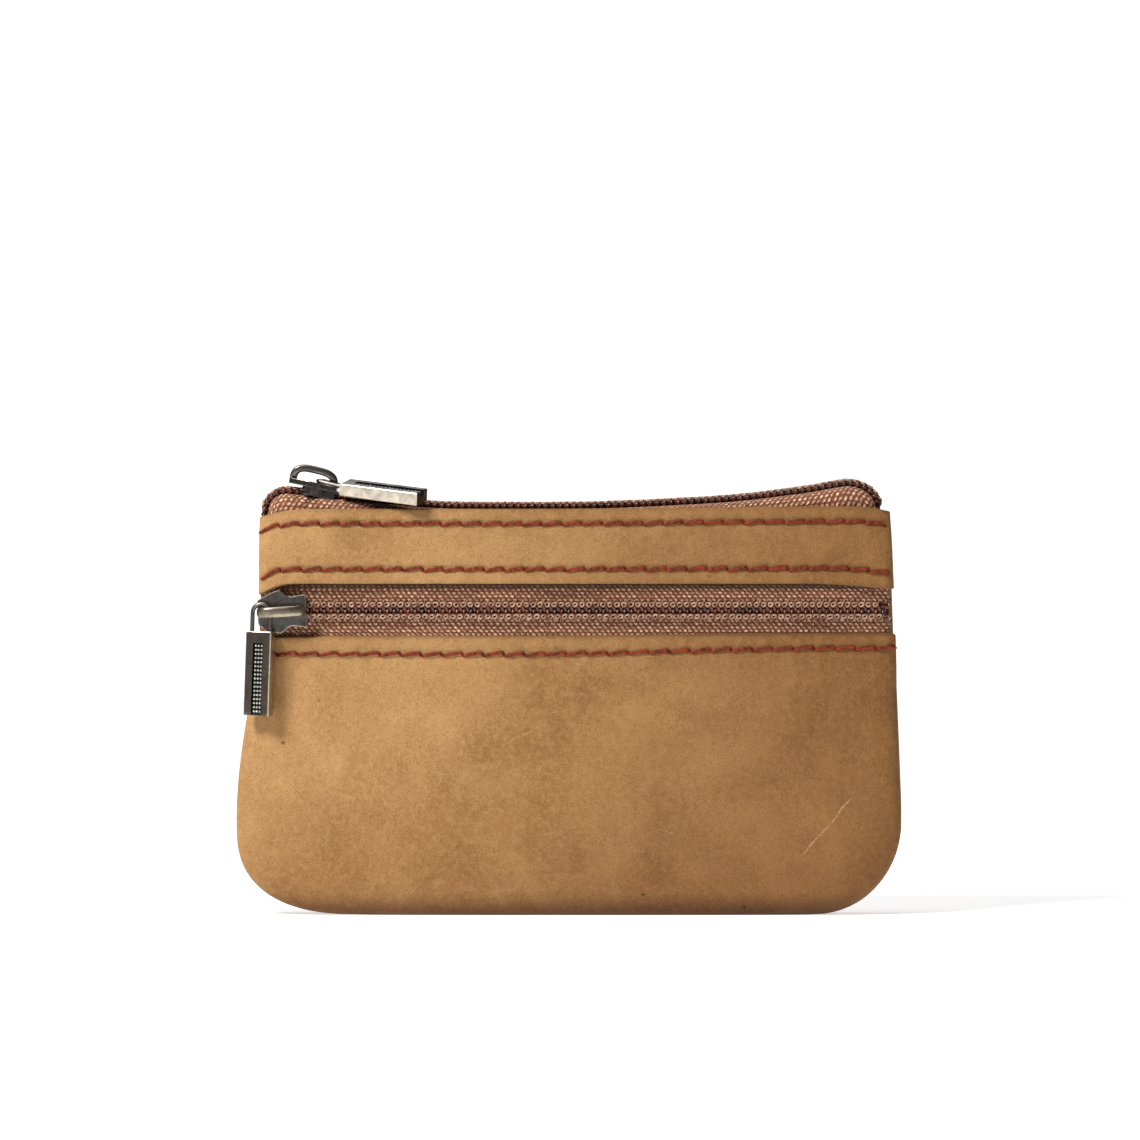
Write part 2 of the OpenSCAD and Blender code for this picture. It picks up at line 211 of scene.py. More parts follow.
def cloth_sheet(outer: Array, inner: Array) -> Surface:
    """Close two grids into a thin sheet.

    Args:
        outer: (rows, columns, 3) points of one face.
        inner: The same points of the other face.

    Returns:
        The sheet, with a map of distances along and across it in metres.
    """
    rows, cols = outer.shape[:2]
    loop = np.concatenate([outer, inner[::-1]])
    quads = grid_faces(2 * rows, cols, wrap_rows=True).tolist()
    quads += [[r * cols for r in range(2 * rows)],
              [r * cols + cols - 1 for r in range(2 * rows)][::-1]]
    along, across = run(outer[rows // 2]), run(outer[:, cols // 2])
    across = np.concatenate([across, across[::-1]])
    uv = np.stack(np.broadcast_arrays(along[None, :], across[:, None]), axis=-1) * MM
    surface = Surface(loop.reshape(-1, 3), quads, uv.reshape(-1, 2))
    return facing_out(surface)


def prism(outline: Array, low: float, high: float) -> Surface:
    """Raise an outline from one height to another.

    Args:
        outline: (n, 2) points, anticlockwise.
        low: Lower z.
        high: Upper z.

    Returns:
        The closed prism.
    """
    n = len(outline)
    points = np.concatenate([np.column_stack([outline, np.full(n, z)]) for z in (low, high)])
    sides = [[i, (i + 1) % n, n + (i + 1) % n, n + i] for i in range(n)]
    return Surface(points, sides + [list(range(n))[::-1], list(range(n, 2 * n))])


def turn(axis: str, degrees: float) -> Array:
    """Rotation matrix by the right-hand rule about x, y or z."""
    c, s = math.cos(math.radians(degrees)), math.sin(math.radians(degrees))
    return np.array({
        "x": [[1, 0, 0], [0, c, -s], [0, s, c]],
        "y": [[c, 0, s], [0, 1, 0], [-s, 0, c]],
        "z": [[c, -s, 0], [s, c, 0], [0, 0, 1]]}[axis])


def bevel(piece: bpy.types.Object, width: float, segments: int = 2) -> None:
    """Round a piece's sharp edges by a width in millimetres.

    Args:
        piece: The object to change.
        width: Width of the bevel, in mm.
        segments: Steps round it.
    """
    modifier = piece.modifiers.new("rounded edges", "BEVEL")
    modifier.width = width * MM
    modifier.segments = segments
    modifier.limit_method = "ANGLE"
    modifier.angle_limit = math.radians(35)
    modifier.harden_normals = False


def ramp(v: Array, a: float, b: float) -> Array:
    """Rise from 0 at a to 1 at b."""
    return np.clip((v - a) / (b - a), 0, 1)


def ease(v: Array, a: float, b: float) -> Array:
    """Rise from 0 at a to 1 at b, slowly at both ends."""
    return (1 - np.cos(np.pi * ramp(v, a, b))) / 2


def swell(v: Array, middle: float, width: float) -> Array:
    """Bell curve of height 1."""
    return np.exp(-((v - middle) / width) ** 2)


# ------------------------------------------------------------------ materials

class Nodes:
    """Short way to place and join nodes in one tree."""

    def __init__(self, tree: bpy.types.NodeTree) -> None:
        """Keep the tree that the nodes go into."""
        self.tree = tree

    def add(self, kind: str, props: dict | None = None, **inputs: object) -> bpy.types.Node:
        """Add a node.

        Args:
            kind: The node's type without the ShaderNode prefix.
            props: The node's own settings.
            **inputs: Values or sockets for its inputs, with underscores for spaces.

        Returns:
            The new node.
        """
        node = self.tree.nodes.new("ShaderNode" + kind)
        for key, value in (props or {}).items():
            setattr(node, key, value)
        for key, value in inputs.items():
            self.put(node.inputs[key.replace("_", " ")], value)
        return node

    def put(self, socket: bpy.types.NodeSocket, value: object) -> None:
        """Set an input to a value, or link a socket to it."""
        if isinstance(value, bpy.types.NodeSocket):
            self.tree.links.new(value, socket)
        elif value is not None:
            socket.default_value = value

    def math(self, how: str, *values: object) -> bpy.types.NodeSocket:
        """Result of a Math node on up to three values.

        Args:
            how: The operation, in capitals.
            values: The values.

        Returns:
            The result.
        """
        node = self.tree.nodes.new("ShaderNodeMath")
        node.operation = how
        for socket, value in zip(node.inputs, values):
            self.put(socket, value)
        return node.outputs[0]

    def mix(self, factor: object, a: object, b: object, how: str = "MIX") -> bpy.types.NodeSocket:
        """Mix two colours.

        Args:
            factor: Share of b.
            a: First value.
            b: Second value.
            how: The blend, in capitals.

        Returns:
            The mixed colour.
        """
        node = self.tree.nodes.new("ShaderNodeMix")
        node.data_type = "RGBA"
        node.blend_type = how
        for index, value in ((0, factor), (6, a), (7, b)):
            self.put(node.inputs[index], value)
        return node.outputs[2]

    def noise(self, where: object, scale: float, detail: float = 2.0, rough: float = 0.5,
              distort: float = 0.0) -> bpy.types.NodeSocket:
        """Value of a Noise texture."""
        return self.add("TexNoise", None, Vector=where, Scale=scale, Detail=detail,
                        Roughness=rough, Distortion=distort).outputs[0]

    def span(self, value: object, low: float, high: float, to_low: float = 0.0,
             to_high: float = 1.0) -> bpy.types.NodeSocket:
        """Map a value from one span to another, clamped and smooth.

        Args:
            value: What is mapped.
            low: Value that gives to_low.
            high: Value that gives to_high.
            to_low: Result at low.
            to_high: Result at high.

        Returns:
            The mapped value, held between the two results.
        """
        node = self.add("MapRange", {"interpolation_type": "SMOOTHSTEP", "clamp": True})
        for index, v in enumerate((value, low, high, to_low, to_high)):
            self.put(node.inputs[index], v)
        return node.outputs[0]


def new_group(name: str, inputs: Sequence[tuple[str, str, object]],
              outputs: Sequence[tuple[str, str]]) -> tuple[bpy.types.NodeTree, Nodes, dict]:
    """Start a shader node group.

    Args:
        name: The group's name.
        inputs: Name, kind and default of each input.
        outputs: Name and kind of each output.

    Returns:
        The group, its node helper, and its inputs and output node by name.
    """
    tree = bpy.data.node_groups.new(name, "ShaderNodeTree")
    for label, kind, default in inputs:
        socket = tree.interface.new_socket(label, in_out="INPUT", socket_type="NodeSocket" + kind)
        if default is not None:
            socket.default_value = default
    for label, kind in outputs:
        tree.interface.new_socket(label, in_out="OUTPUT", socket_type="NodeSocket" + kind)
    start = tree.nodes.new("NodeGroupInput")
    end = tree.nodes.new("NodeGroupOutput")
    places = {label: start.outputs[label] for label, _, _ in inputs}
    return tree, Nodes(tree), {**places, "out": end}


def hide_group() -> bpy.types.NodeTree:
    """Leather: cloudy colour, pores, specks and a fine nap, from Object coordinates.

    Returns:
        The node group.
    """
    tree, n, io = new_group(
        "hide", [("Where", "Vector", None), ("Dark", "Color", (0.2, 0.1, 0.03, 1)),
                 ("Mid", "Color", (0.4, 0.2, 0.08, 1)), ("Light", "Color", (0.5, 0.3, 0.12, 1))],
        [("Color", "Color"), ("Height", "Float"), ("Roughness", "Float")])
    where = io["Where"]
    clouds = n.noise(where, 34, 4, 0.6, 0.6)
    patches = n.noise(where, 150, 5, 0.62, 0.4)
    nap = n.noise(where, 900, 4, 0.65)
    grain = n.noise(where, 3600, 3, 0.6)
    tone = n.mix(n.span(clouds, 0.32, 0.68), io["Dark"], io["Light"])
    tone = n.mix(n.span(patches, 0.25, 0.75, 0.12, 0.88), tone, io["Mid"])
    tone = n.mix(n.span(patches, 0.6, 0.82, 0, 0.35), tone, io["Dark"])
    tone = n.mix(n.span(nap, 0.45, 0.68, 0, 0.42), tone, io["Light"])
    tone = n.mix(n.span(nap, 0.45, 0.30, 0, 0.30), tone, io["Dark"])
    tone = n.mix(n.span(grain, 0.5, 0.68, 0, 0.62), tone, io["Dark"])
    tone = n.mix(n.span(grain, 0.5, 0.34, 0, 0.48), tone, io["Light"])
    specks = n.add("TexVoronoi", None, Vector=where, Scale=210.0, Randomness=1.0).outputs[0]
    keep = n.span(n.noise(where, 95, 1), 0.6, 0.66)
    speck = n.math("MULTIPLY", n.span(specks, 0.10, 0.04), keep)
    tone = n.mix(n.math("MULTIPLY", speck, 0.7), tone, io["Dark"], "MULTIPLY")
    n.put(io["out"].inputs["Color"], tone)
    height = n.math("ADD", n.math("MULTIPLY", grain, 0.55), n.math("MULTIPLY", nap, 0.6))
    n.put(io["out"].inputs["Height"], n.math("ADD", height, n.math("MULTIPLY", patches, 0.5)))
    n.put(io["out"].inputs["Roughness"], n.span(patches, 0.2, 0.8, 0.86, 0.72))
    return tree


def weave_group() -> bpy.types.NodeTree:
    """Twill tape or cloth: raised threads in offset rows, from the piece's own cloth map.

    Returns:
        The node group.
    """
    tree, n, io = new_group(
        "weave", [("Where", "Vector", None), ("Ground", "Color", (0.1, 0.03, 0.01, 1)),
                  ("Thread", "Color", (0.5, 0.3, 0.2, 1)), ("Along", "Float", 1200.0),
                  ("Across", "Float", 2000.0)],
        [("Color", "Color"), ("Height", "Float")])
    split = n.add("SeparateXYZ", None, Vector=io["Where"])
    wobble = n.math("MULTIPLY", n.noise(io["Where"], 900, 2), 0.0003)
    along = n.math("MULTIPLY", n.math("ADD", split.outputs[0], wobble), io["Along"])
    across = n.math("MULTIPLY", n.math("ADD", split.outputs[1], wobble), io["Across"])
    row = n.math("FLOOR", across)
    shift = n.math("MULTIPLY", n.math("MODULO", row, 2.0), 0.5)
    x = n.math("SUBTRACT", n.math("FRACT", n.math("ADD", along, shift)), 0.5)
    y = n.math("SUBTRACT", n.math("FRACT", across), 0.5)
    lean = n.math("ADD", x, n.math("MULTIPLY", y, 0.35))
    far = n.math("ADD", n.math("MULTIPLY", n.math("MULTIPLY", lean, lean), 5.2),
                 n.math("MULTIPLY", n.math("MULTIPLY", y, y), 3.4))
    bump = n.span(far, 1.0, 0.05)
    uneven = n.noise(io["Where"], 1500, 2, 0.6)
    shown = n.math("MULTIPLY", bump, n.span(uneven, 0.38, 0.62, 0.18, 1.0))
    n.put(io["out"].inputs["Color"], n.mix(shown, io["Ground"], io["Thread"]))
    n.put(io["out"].inputs["Height"], n.math("ADD", bump, n.math("MULTIPLY", uneven, 0.4)))
    return tree


def patina_group() -> bpy.types.NodeTree:
    """Antiqued plating: cloudy colour and gloss with fine drawn scratches.

    Returns:
        The node group.
    """
    tree, n, io = new_group(
        "patina", [("Where", "Vector", None), ("Bare", "Color", (0.4, 0.36, 0.3, 1)),
                   ("Aged", "Color", (0.1, 0.09, 0.08, 1)), ("Amount", "Float", 0.5)],
        [("Color", "Color"), ("Roughness", "Float"), ("Height", "Float")])
    cloud = n.noise(io["Where"], 420, 4, 0.65, 0.5)
    fine = n.noise(io["Where"], 2600, 3, 0.7)
    stretched = n.add("Mapping", None, Vector=io["Where"], Scale=(400.0, 5000.0, 5000.0))
    scratch = n.noise(stretched.outputs[0], 1.0, 2, 0.6)
    mask = n.math("MULTIPLY", n.span(cloud, 0.3, 0.7), io["Amount"])
    mask = n.math("ADD", mask, n.math("MULTIPLY", n.math("SUBTRACT", fine, 0.5), 0.5))
    n.put(io["out"].inputs["Color"], n.mix(mask, io["Bare"], io["Aged"]))
    n.put(io["out"].inputs["Roughness"], n.span(cloud, 0.25, 0.75, 0.24, 0.44))
    height = n.math("ADD", n.math("MULTIPLY", scratch, 0.5), n.math("MULTIPLY", fine, 0.3))
    n.put(io["out"].inputs["Height"], height)
    return tree


class Finishes:
    """Every finish of the pouch, each made once."""

    def __init__(self) -> None:
        """Build the shared effects."""
        self.groups = {"hide": hide_group(), "weave": weave_group(), "patina": patina_group()}
        self.made: dict[str, bpy.types.Material] = {}

    def start(self, name: str) -> tuple[bpy.types.Material, Nodes, bpy.types.Node]:
        """Begin a material and return it with its helper and its Principled shader.

        Args:
            name: Its name.

        Returns:
            The material, its nodes and its shader.
        """
        material = bpy.data.materials.new(name)
        material.use_nodes = True
        self.made[name] = material
        return material, Nodes(material.node_tree), material.node_tree.nodes["Principled BSDF"]

    def effect(self, n: Nodes, which: str, **inputs: object) -> bpy.types.Node:
        """Place a shared effect in a material.

        Args:
            n: Nodes of the material.
            which: Name of the node group.
            inputs: Values of its sockets.

        Returns:
            The group node.
        """
        node = n.tree.nodes.new("ShaderNodeGroup")
        node.node_tree = self.groups[which]
        for key, value in inputs.items():
            n.put(node.inputs[key], value)
        return node

    def relief(self, n: Nodes, shader: bpy.types.Node, height: object, distance: float,
               strength: float = 1.0) -> None:
        """Give a shader a bump from a height, with its depth in millimetres."""
        bump = n.add("Bump", None, Height=height, Distance=distance * MM, Strength=strength)
        n.put(shader.inputs["Normal"], bump.outputs[0])

    def leather(self, name: str, finish: "Hide") -> bpy.types.Material:
        """Nubuck leather with darker rims, painted shade to the right and towards the bottom seam, and
        light scuffs.

        Args:
            name: Its name.
            finish: Colours and marks.

        Returns:
            The material.
        """
        material, n, shader = self.start(name)
        where = n.add("TexCoord").outputs["Object"]
        hide = self.effect(n, "hide", Where=where, Dark=finish.dark, Mid=finish.mid,
                           Light=finish.light)
        tone = hide.outputs["Color"]
        height = n.add("SeparateXYZ", None, Vector=where).outputs[2]
        # Painted shade: darker towards the right side, and more and more so from 26 mm down to 4 mm.
        painted_shade = n.span(n.add("SeparateXYZ", None, Vector=where).outputs[0], -0.04, 0.055, 0, 0.95)
        tone = n.mix(painted_shade, tone, finish.painted_shade, "MULTIPLY")
        tone = n.mix(n.span(height, 0.026, 0.004, 0, 0.45), tone, finish.painted_shade, "MULTIPLY")
        # Painted shade over the lowest 5 mm, where the bottom curves under.
        tone = n.mix(n.span(height, 0.0050, 0.0, 0, 0.9), tone, finish.painted_base_shade, "MULTIPLY")
        for scuff in finish.scuffs:
            tone = n.mix(self.scuff(n, where, scuff), tone, finish.scuffed)
        rim = n.add("Attribute", {"attribute_name": "rim"}).outputs["Fac"]
        tone = n.mix(n.math("MULTIPLY", rim, 0.55), tone, finish.rim, "MULTIPLY")
        n.put(shader.inputs["Base Color"], tone)
        n.put(shader.inputs["Roughness"], hide.outputs["Roughness"])
        shader.inputs["Specular IOR Level"].default_value = 0.28
        shader.inputs["Sheen Weight"].default_value = 0.12
        shader.inputs["Sheen Roughness"].default_value = 0.5
        shader.inputs["Sheen Tint"].default_value = (0.9, 0.7, 0.45, 1)
        self.relief(n, shader, hide.outputs["Height"], 0.16, 0.8)
        return material

    def scuff(self, n: Nodes, where: object, mark: "Scuff") -> bpy.types.NodeSocket:
        """Mask of one thin scratch between two places on a face, broken up along its length.

        Args:
            n: Nodes of the material.
            where: Coordinates in metres.
            mark: The scratch or speck.

        Returns:
            Strength of the mark.
        """
        slope = math.atan2(mark.end[1] - mark.start[1], mark.end[0] - mark.start[0])
        length = math.dist(mark.start, mark.end) * MM
        turned = n.add("Mapping", {"vector_type": "TEXTURE"}, Vector=where,
                       Location=(mark.start[0] * MM, 0, mark.start[1] * MM),
                       Rotation=(0, -slope, 0))
        split = n.add("SeparateXYZ", None, Vector=turned.outputs[0])
        waver = n.math("MULTIPLY", n.math("SUBTRACT", n.noise(where, 260, 1), 0.5), 0.0012)
        off = n.math("ABSOLUTE", n.math("ADD", split.outputs[2], waver))
        thin = n.span(off, mark.width * MM, mark.width * MM * 0.25)
        inside = n.math("MULTIPLY", n.span(split.outputs[0], 0.0, 0.1 * length),
                        n.span(split.outputs[0], length, 0.85 * length))
        broken = n.span(n.noise(where, 1400, 2), 0.35, 0.6)
        return n.math("MULTIPLY", n.math("MULTIPLY", thin, inside),
                      n.math("MULTIPLY", broken, mark.strength))

    def woven(self, name: str, cloth: "Cloth") -> bpy.types.Material:
        """Woven tape or lining, from the piece's own map.

        Args:
            name: Its name.
            cloth: Colours and counts.

        Returns:
            The material.
        """
        material, n, shader = self.start(name)
        where = n.add("UVMap", {"uv_map": "cloth"}).outputs[0]
        weave = self.effect(n, "weave", Where=where, Ground=cloth.ground, Thread=cloth.thread,
                            Along=cloth.along, Across=cloth.across)
        colour = weave.outputs["Color"]
        if cloth.painted_shadow:
            place_in = n.add("TexCoord").outputs["Object"]
            height = n.add("SeparateXYZ", None, Vector=place_in).outputs[2]
            ragged = n.math("ADD", height, n.math("MULTIPLY", n.noise(where, 400, 2), 0.0002))
            # Painted shadow: each band darkens the tape, here just under the leather band's lower edge.
            for low, high, end, strength in cloth.painted_shadow:
                above = n.span(height, (end + 0.5) * MM, end * MM)
                shadowed = n.math("MULTIPLY", n.span(ragged, low * MM, high * MM), above)
                shadowed = n.math("MULTIPLY", shadowed, strength)
                colour = n.mix(shadowed, colour, (0.035, 0.014, 0.006, 1))
        n.put(shader.inputs["Base Color"], colour)
        worn = n.noise(where, 700, 2)
        n.put(shader.inputs["Roughness"], n.span(worn, 0.3, 0.7, 0.72, 0.9))
        shader.inputs["Sheen Weight"].default_value = 0.1
        self.relief(n, shader, weave.outputs["Height"], cloth.depth)
        return material

    def yarn(self, name: str, yarn: "Yarn") -> bpy.types.Material:
        """Sewing thread: uneven dye and fine fibres.

        Args:
            name: Its name.
            yarn: Colours and ply.

        Returns:
            The material.
        """
        material, n, shader = self.start(name)
        where = n.add("TexCoord").outputs["Object"]
        dye = n.noise(where, yarn.dye_scale, 3, 0.6)
        fibre = n.noise(where, 9000, 2, 0.7)
        tone = n.mix(n.span(dye, 0.32, 0.68), yarn.dark, yarn.light)
        tone = n.mix(n.span(fibre, 0.45, 0.75, 0, 0.4), tone, yarn.dark)
        n.put(shader.inputs["Base Color"], tone)
        n.put(shader.inputs["Roughness"], n.span(fibre, 0.3, 0.7, 0.5, 0.75))
        shader.inputs["Specular IOR Level"].default_value = 0.25
        self.relief(n, shader, fibre, 0.03)
        return material

    def metal(self, name: str, plating: "Plating") -> bpy.types.Material:
        """Antiqued metal plating.

        Args:
            name: Its name.
            plating: Colours and wear.

        Returns:
            The material.
        """
        material, n, shader = self.start(name)
        where = n.add("TexCoord").outputs["Object"]
        patina = self.effect(n, "patina", Where=where, Bare=plating.bare, Aged=plating.aged,
                             Amount=plating.amount)
        n.put(shader.inputs["Base Color"], patina.outputs["Color"])
        n.put(shader.inputs["Roughness"], patina.outputs["Roughness"])
        shader.inputs["Metallic"].default_value = 1.0
        self.relief(n, shader, patina.outputs["Height"], plating.depth, 0.5)
        return material

    def nylon(self, name: str) -> bpy.types.Material:
        """Dark glossy nylon of the chain's coils.

        Args:
            name: Its name.

        Returns:
            The material.
        """
        material, n, shader = self.start(name)
        where = n.add("TexCoord").outputs["Object"]
        dye = n.noise(where, 500, 3)
        dark, light = (0.040, 0.008, 0.003, 1), (0.120, 0.030, 0.012, 1)
        n.put(shader.inputs["Base Color"], n.mix(n.span(dye, 0.3, 0.7), dark, light))
        n.put(shader.inputs["Roughness"], n.span(n.noise(where, 2500, 2), 0.3, 0.7, 0.12, 0.24))
        shader.inputs["Coat Weight"].default_value = 0.15
        shader.inputs["Coat Roughness"].default_value = 0.1
        self.relief(n, shader, dye, 0.02)
        return material

    def paper(self, name: str) -> bpy.types.Material:
        """Pale studio floor with a trace of tooth, which glows: painted light, dimmer near the middle.

        Args:
            name: Its name.

        Returns:
            The material.
        """
        material, n, shader = self.start(name)
        where = n.add("TexCoord").outputs["Object"]
        tooth = n.noise(where, 60, 3)
        tone = n.mix(tooth, (0.93, 0.93, 0.93, 1), (0.95, 0.95, 0.95, 1))
        n.put(shader.inputs["Base Color"], tone)
        shader.inputs["Roughness"].default_value = 0.8
        # Painted light: the floor glows at 0.55 within 0.10 m of the middle, rising to 0.95 by 0.45 m.
        far = n.add("VectorMath", {"operation": "LENGTH"}, Vector=where).outputs["Value"]
        n.put(shader.inputs["Emission Color"],
              n.mix(n.span(far, 0.10, 0.45), (0.55, 0.55, 0.55, 1), (0.95, 0.95, 0.95, 1)))
        shader.inputs["Emission Strength"].default_value = 1.0
        return material


@dataclass(frozen=True)
class Scuff:
    """One scratch on the front, by X and Z of its ends."""

    start: tuple[float, float]
    end: tuple[float, float]
    width: float
    strength: float


@dataclass(frozen=True)
class Hide:
    """Colours of a leather."""

    dark: tuple = (0.225, 0.100, 0.027, 1)
    mid: tuple = (0.365, 0.188, 0.066, 1)
    light: tuple = (0.510, 0.298, 0.125, 1)
    scuffed: tuple = (0.58, 0.38, 0.20, 1)
    # Painted shade over the lowest 5 mm.
    painted_base_shade: tuple = (0.30, 0.22, 0.15, 1)
    # Painted shade towards the right side and the bottom.
    painted_shade: tuple = (0.63, 0.53, 0.42, 1)
    rim: tuple = (0.42, 0.30, 0.20, 1)
    scuffs: tuple[Scuff, ...] = (
        Scuff((42.2, 10.6), (52.0, 22.1), 0.22, 0.55),
        Scuff((-12.0, 31.0), (-5.5, 34.5), 0.16, 0.30),
        Scuff((14.0, 16.5), (19.5, 14.8), 0.16, 0.28),
        Scuff((-36.0, 21.0), (-31.5, 25.0), 0.14, 0.30))


@dataclass(frozen=True)
class Cloth:
    """Colours and thread counts per metre of a woven material.

    Attributes:
        painted_shadow: Bands of painted shadow across the height, as clean, dark and end heights
            in mm and its strength.
    """

    ground: tuple
    thread: tuple
    along: float
    across: float
    depth: float
    painted_shadow: tuple = ()


@dataclass(frozen=True)
class Yarn:
    """Colours of a thread."""

    dark: tuple
    light: tuple
    dye_scale: float


@dataclass(frozen=True)
class Plating:
    """Colours of a plated metal."""

    bare: tuple
    aged: tuple
    amount: float
    depth: float = 0.01


# The tape's band of painted shadow lies under the front band's lower edge.
TAPE_CLOTH = Cloth((0.20, 0.052, 0.016, 1), (0.90, 0.60, 0.40, 1), 1000.0, 1500.0, 0.24,
                   ((59.3, 60.3, 62.0, 0.85),))
LINING_CLOTH = Cloth((0.33, 0.24, 0.14, 1), (0.58, 0.46, 0.30, 1), 2200.0, 2200.0, 0.06)
RUST_THREAD = Yarn((0.085, 0.009, 0.002, 1), (0.29, 0.034, 0.008, 1), 1300.0)
LOOP_THREAD = Yarn((0.16, 0.065, 0.036, 1), (0.60, 0.39, 0.27, 1), 1300.0)
GUNMETAL = Plating((0.215, 0.200, 0.188, 1), (0.060, 0.052, 0.046, 1), 0.8)
WORN_BAR = Plating((0.40, 0.34, 0.26, 1), (0.12, 0.095, 0.068, 1), 0.7)
TAB_METAL = Plating((0.135, 0.112, 0.092, 1), (0.040, 0.030, 0.023, 1), 0.8)
# Painted shade: a darker copy of the gunmetal for the top slider's plates.
SHADED_GUNMETAL = Plating((0.095, 0.088, 0.082, 1), (0.032, 0.028, 0.025, 1), 0.8)
# Painted highlight: a near-white copy of the metal on the tab's rounded edges.
EDGE_HIGHLIGHT = Plating((0.86, 0.80, 0.70, 1), (0.44, 0.38, 0.30, 1), 0.5)
# Painted highlight: a lighter copy of the metal for the tab's long sides and the front slider's plate
# bevels.
PAINTED_HIGHLIGHT = Plating((0.52, 0.47, 0.39, 1), (0.20, 0.17, 0.13, 1), 0.6)
# Painted highlight: the beads' bright glints.
BEAD_GLINT = Plating((0.92, 0.89, 0.84, 1), (0.62, 0.57, 0.50, 1), 0.3)
WIRE = Plating((0.22, 0.20, 0.18, 1), (0.055, 0.047, 0.040, 1), 0.7)
BLACKENED = Plating((0.035, 0.032, 0.030, 1), (0.012, 0.011, 0.010, 1), 0.6)


# ------------------------------------------------------------------ the body's shape

class Side(Enum):
    """Which half of the body a piece belongs to."""

    FRONT = -1
    BACK = 1


@dataclass
class Form:
    """Outline and depth of the pouch, as the frame has them."""

    half_w: float
    top_z: float
    belly_z: float = 24.0
    belly_half: float = 7.2
    mouth_half: float = 5.8
    base_half: float = 3.0
    leather_t: float = 1.2
    zip_z: float = 55.4
    left_corner: tuple[float, float, float] = (22.0, 16.0, 2.5)
    right_corner: tuple[float, float, float] = (15.5, 17.0, 2.0)
    seam_depth: float = 0.55

    @classmethod
    def from_frame(cls) -> "Form":
        """Take the width and height from the back panel's box."""
        low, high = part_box("back_panel")
        return cls(half_w=(high[0] - low[0]) / 2 / MM, top_z=high[2] / MM)

    def corner(self, z: Array, corner: tuple[float, float, float]) -> Array:
        """Inset of a superelliptic bottom corner at height z.

        Args:
            z: Heights.
            corner: Reach, rise and power.

        Returns:
            The inset.
        """
        reach, rise, power = corner
        inner = 1 - np.clip(z / rise, 0, 1)
        return reach * (1 - (1 - inner ** power) ** (1 / power))

    def left(self, z: Array) -> Array:
        """X of the left outline."""
        return -self.half_w + self.corner(z, self.left_corner) + 4.2 * ease(z, 17, 58)

    def right(self, z: Array) -> Array:
        """X of the right outline."""
        return self.half_w - self.corner(z, self.right_corner) - 2.0 * ramp(z, 20, self.top_z)

    def middle(self, z: Array) -> Array:
        """X halfway between the outlines."""
        return (self.left(z) + self.right(z)) / 2

    def half(self, z: Array) -> Array:
        """Half the width."""
        return (self.right(z) - self.left(z)) / 2

    def depth(self, z: Array) -> Array:
        """Half the depth at height z: rounded below the belly, easing to the mouth above it.

        Args:
            z: Heights.

        Returns:
            The half depths.
        """
        low = np.clip(z / self.belly_z, 0, 1)
        under = self.base_half + (self.belly_half - self.base_half) * np.sqrt(1 - (1 - low) ** 2.4)
        share = np.clip((z - self.belly_z) / (self.top_z - self.belly_z), 0, 1.1)
        return np.where(z < self.belly_z, under,
                        self.belly_half - (self.belly_half - self.mouth_half) * share ** 2)

    def square(self, side: Side, z: Array) -> Array:
        """Exponent of the plan section's superellipse."""
        if side is Side.BACK:
            return 4 + ease(z, 0, 20)
        return 4 + 4 * ease(z, 0, 20) + 16 * ease(z, 41, 49) - 19 * ease(z, 63, self.top_z)

    def round_plan(self, side: Side, z: Array, phi: Array) -> tuple[Array, Array]:
        """Across and depth shares of a section's point at polar angle phi.

        Args:
            side: Front or back.
            z: Heights.
            phi: Polar angles.

        Returns:
            Shares from -1 to 1 across and 0 to 1 in depth.
        """
        n = self.square(side, z)
        c, s = np.abs(np.cos(phi)), np.abs(np.sin(phi))
        size = (c ** n + s ** n) ** (1 / n)
        return np.cos(phi) / size, s / size

    def plan_x(self, side: Side, z: float, phi: Array) -> Array:
        """X of the leather's face at one height and polar angles phi."""
        at = np.array(z)
        return self.middle(at) + self.half(at) * self.round_plan(side, at, phi)[0]

    def skin(self, side: Side, z: Array, phi: Array, inset: Array) -> Array:
        """Points at height z and polar angle phi, a distance inside the leather's face.

        Args:
            side: Front or back.
            z: Heights.
            phi: Polar angles.
            inset: Distance inside the face.

        Returns:
            The points.
        """
        u, s = self.round_plan(side, z, phi)
        x = self.middle(z) + (self.half(z) - inset) * u
        y = side.value * (self.depth(z) - inset) * s
        up = inset + z * (1 - inset / self.top_z)
        return np.stack(np.broadcast_arrays(x, y, up), axis=-1)

    def on_skin(self, side: Side, x: Array, z: Array, out: float = 0.0) -> Array:
        """Points of the leather's face at given x and z, raised by out along Y.

        Args:
            side: Front or back.
            x: X positions.
            z: Heights.
            out: How far the points are raised.

        Returns:
            The points.
        """
        n = self.square(side, z)
        u = np.clip(np.abs((x - self.middle(z)) / self.half(z)), 0, 1)
        y = side.value * (self.depth(z) * (1 - u ** n) ** (1 / n) + out)
        return np.stack(np.broadcast_arrays(x, y, z), axis=-1)

    def columns(self, step: float, side_count: int = 16) -> Array:
        """Polar angles from the left seam to the right seam, even along the face and the sides.

        Args:
            step: Spacing along the face.
            side_count: Columns on each side.

        Returns:
            The angles.
        """
        face = int(2 * self.half_w / step)
        across = np.linspace(-1, 1, face + 1)
        depth = np.linspace(0, 1, side_count, endpoint=False) ** 1.5
        left = np.pi - np.arctan(depth)
        front = np.arctan2(1, across)
        right = np.arctan(depth)[::-1]
        return np.concatenate([left, front, right])


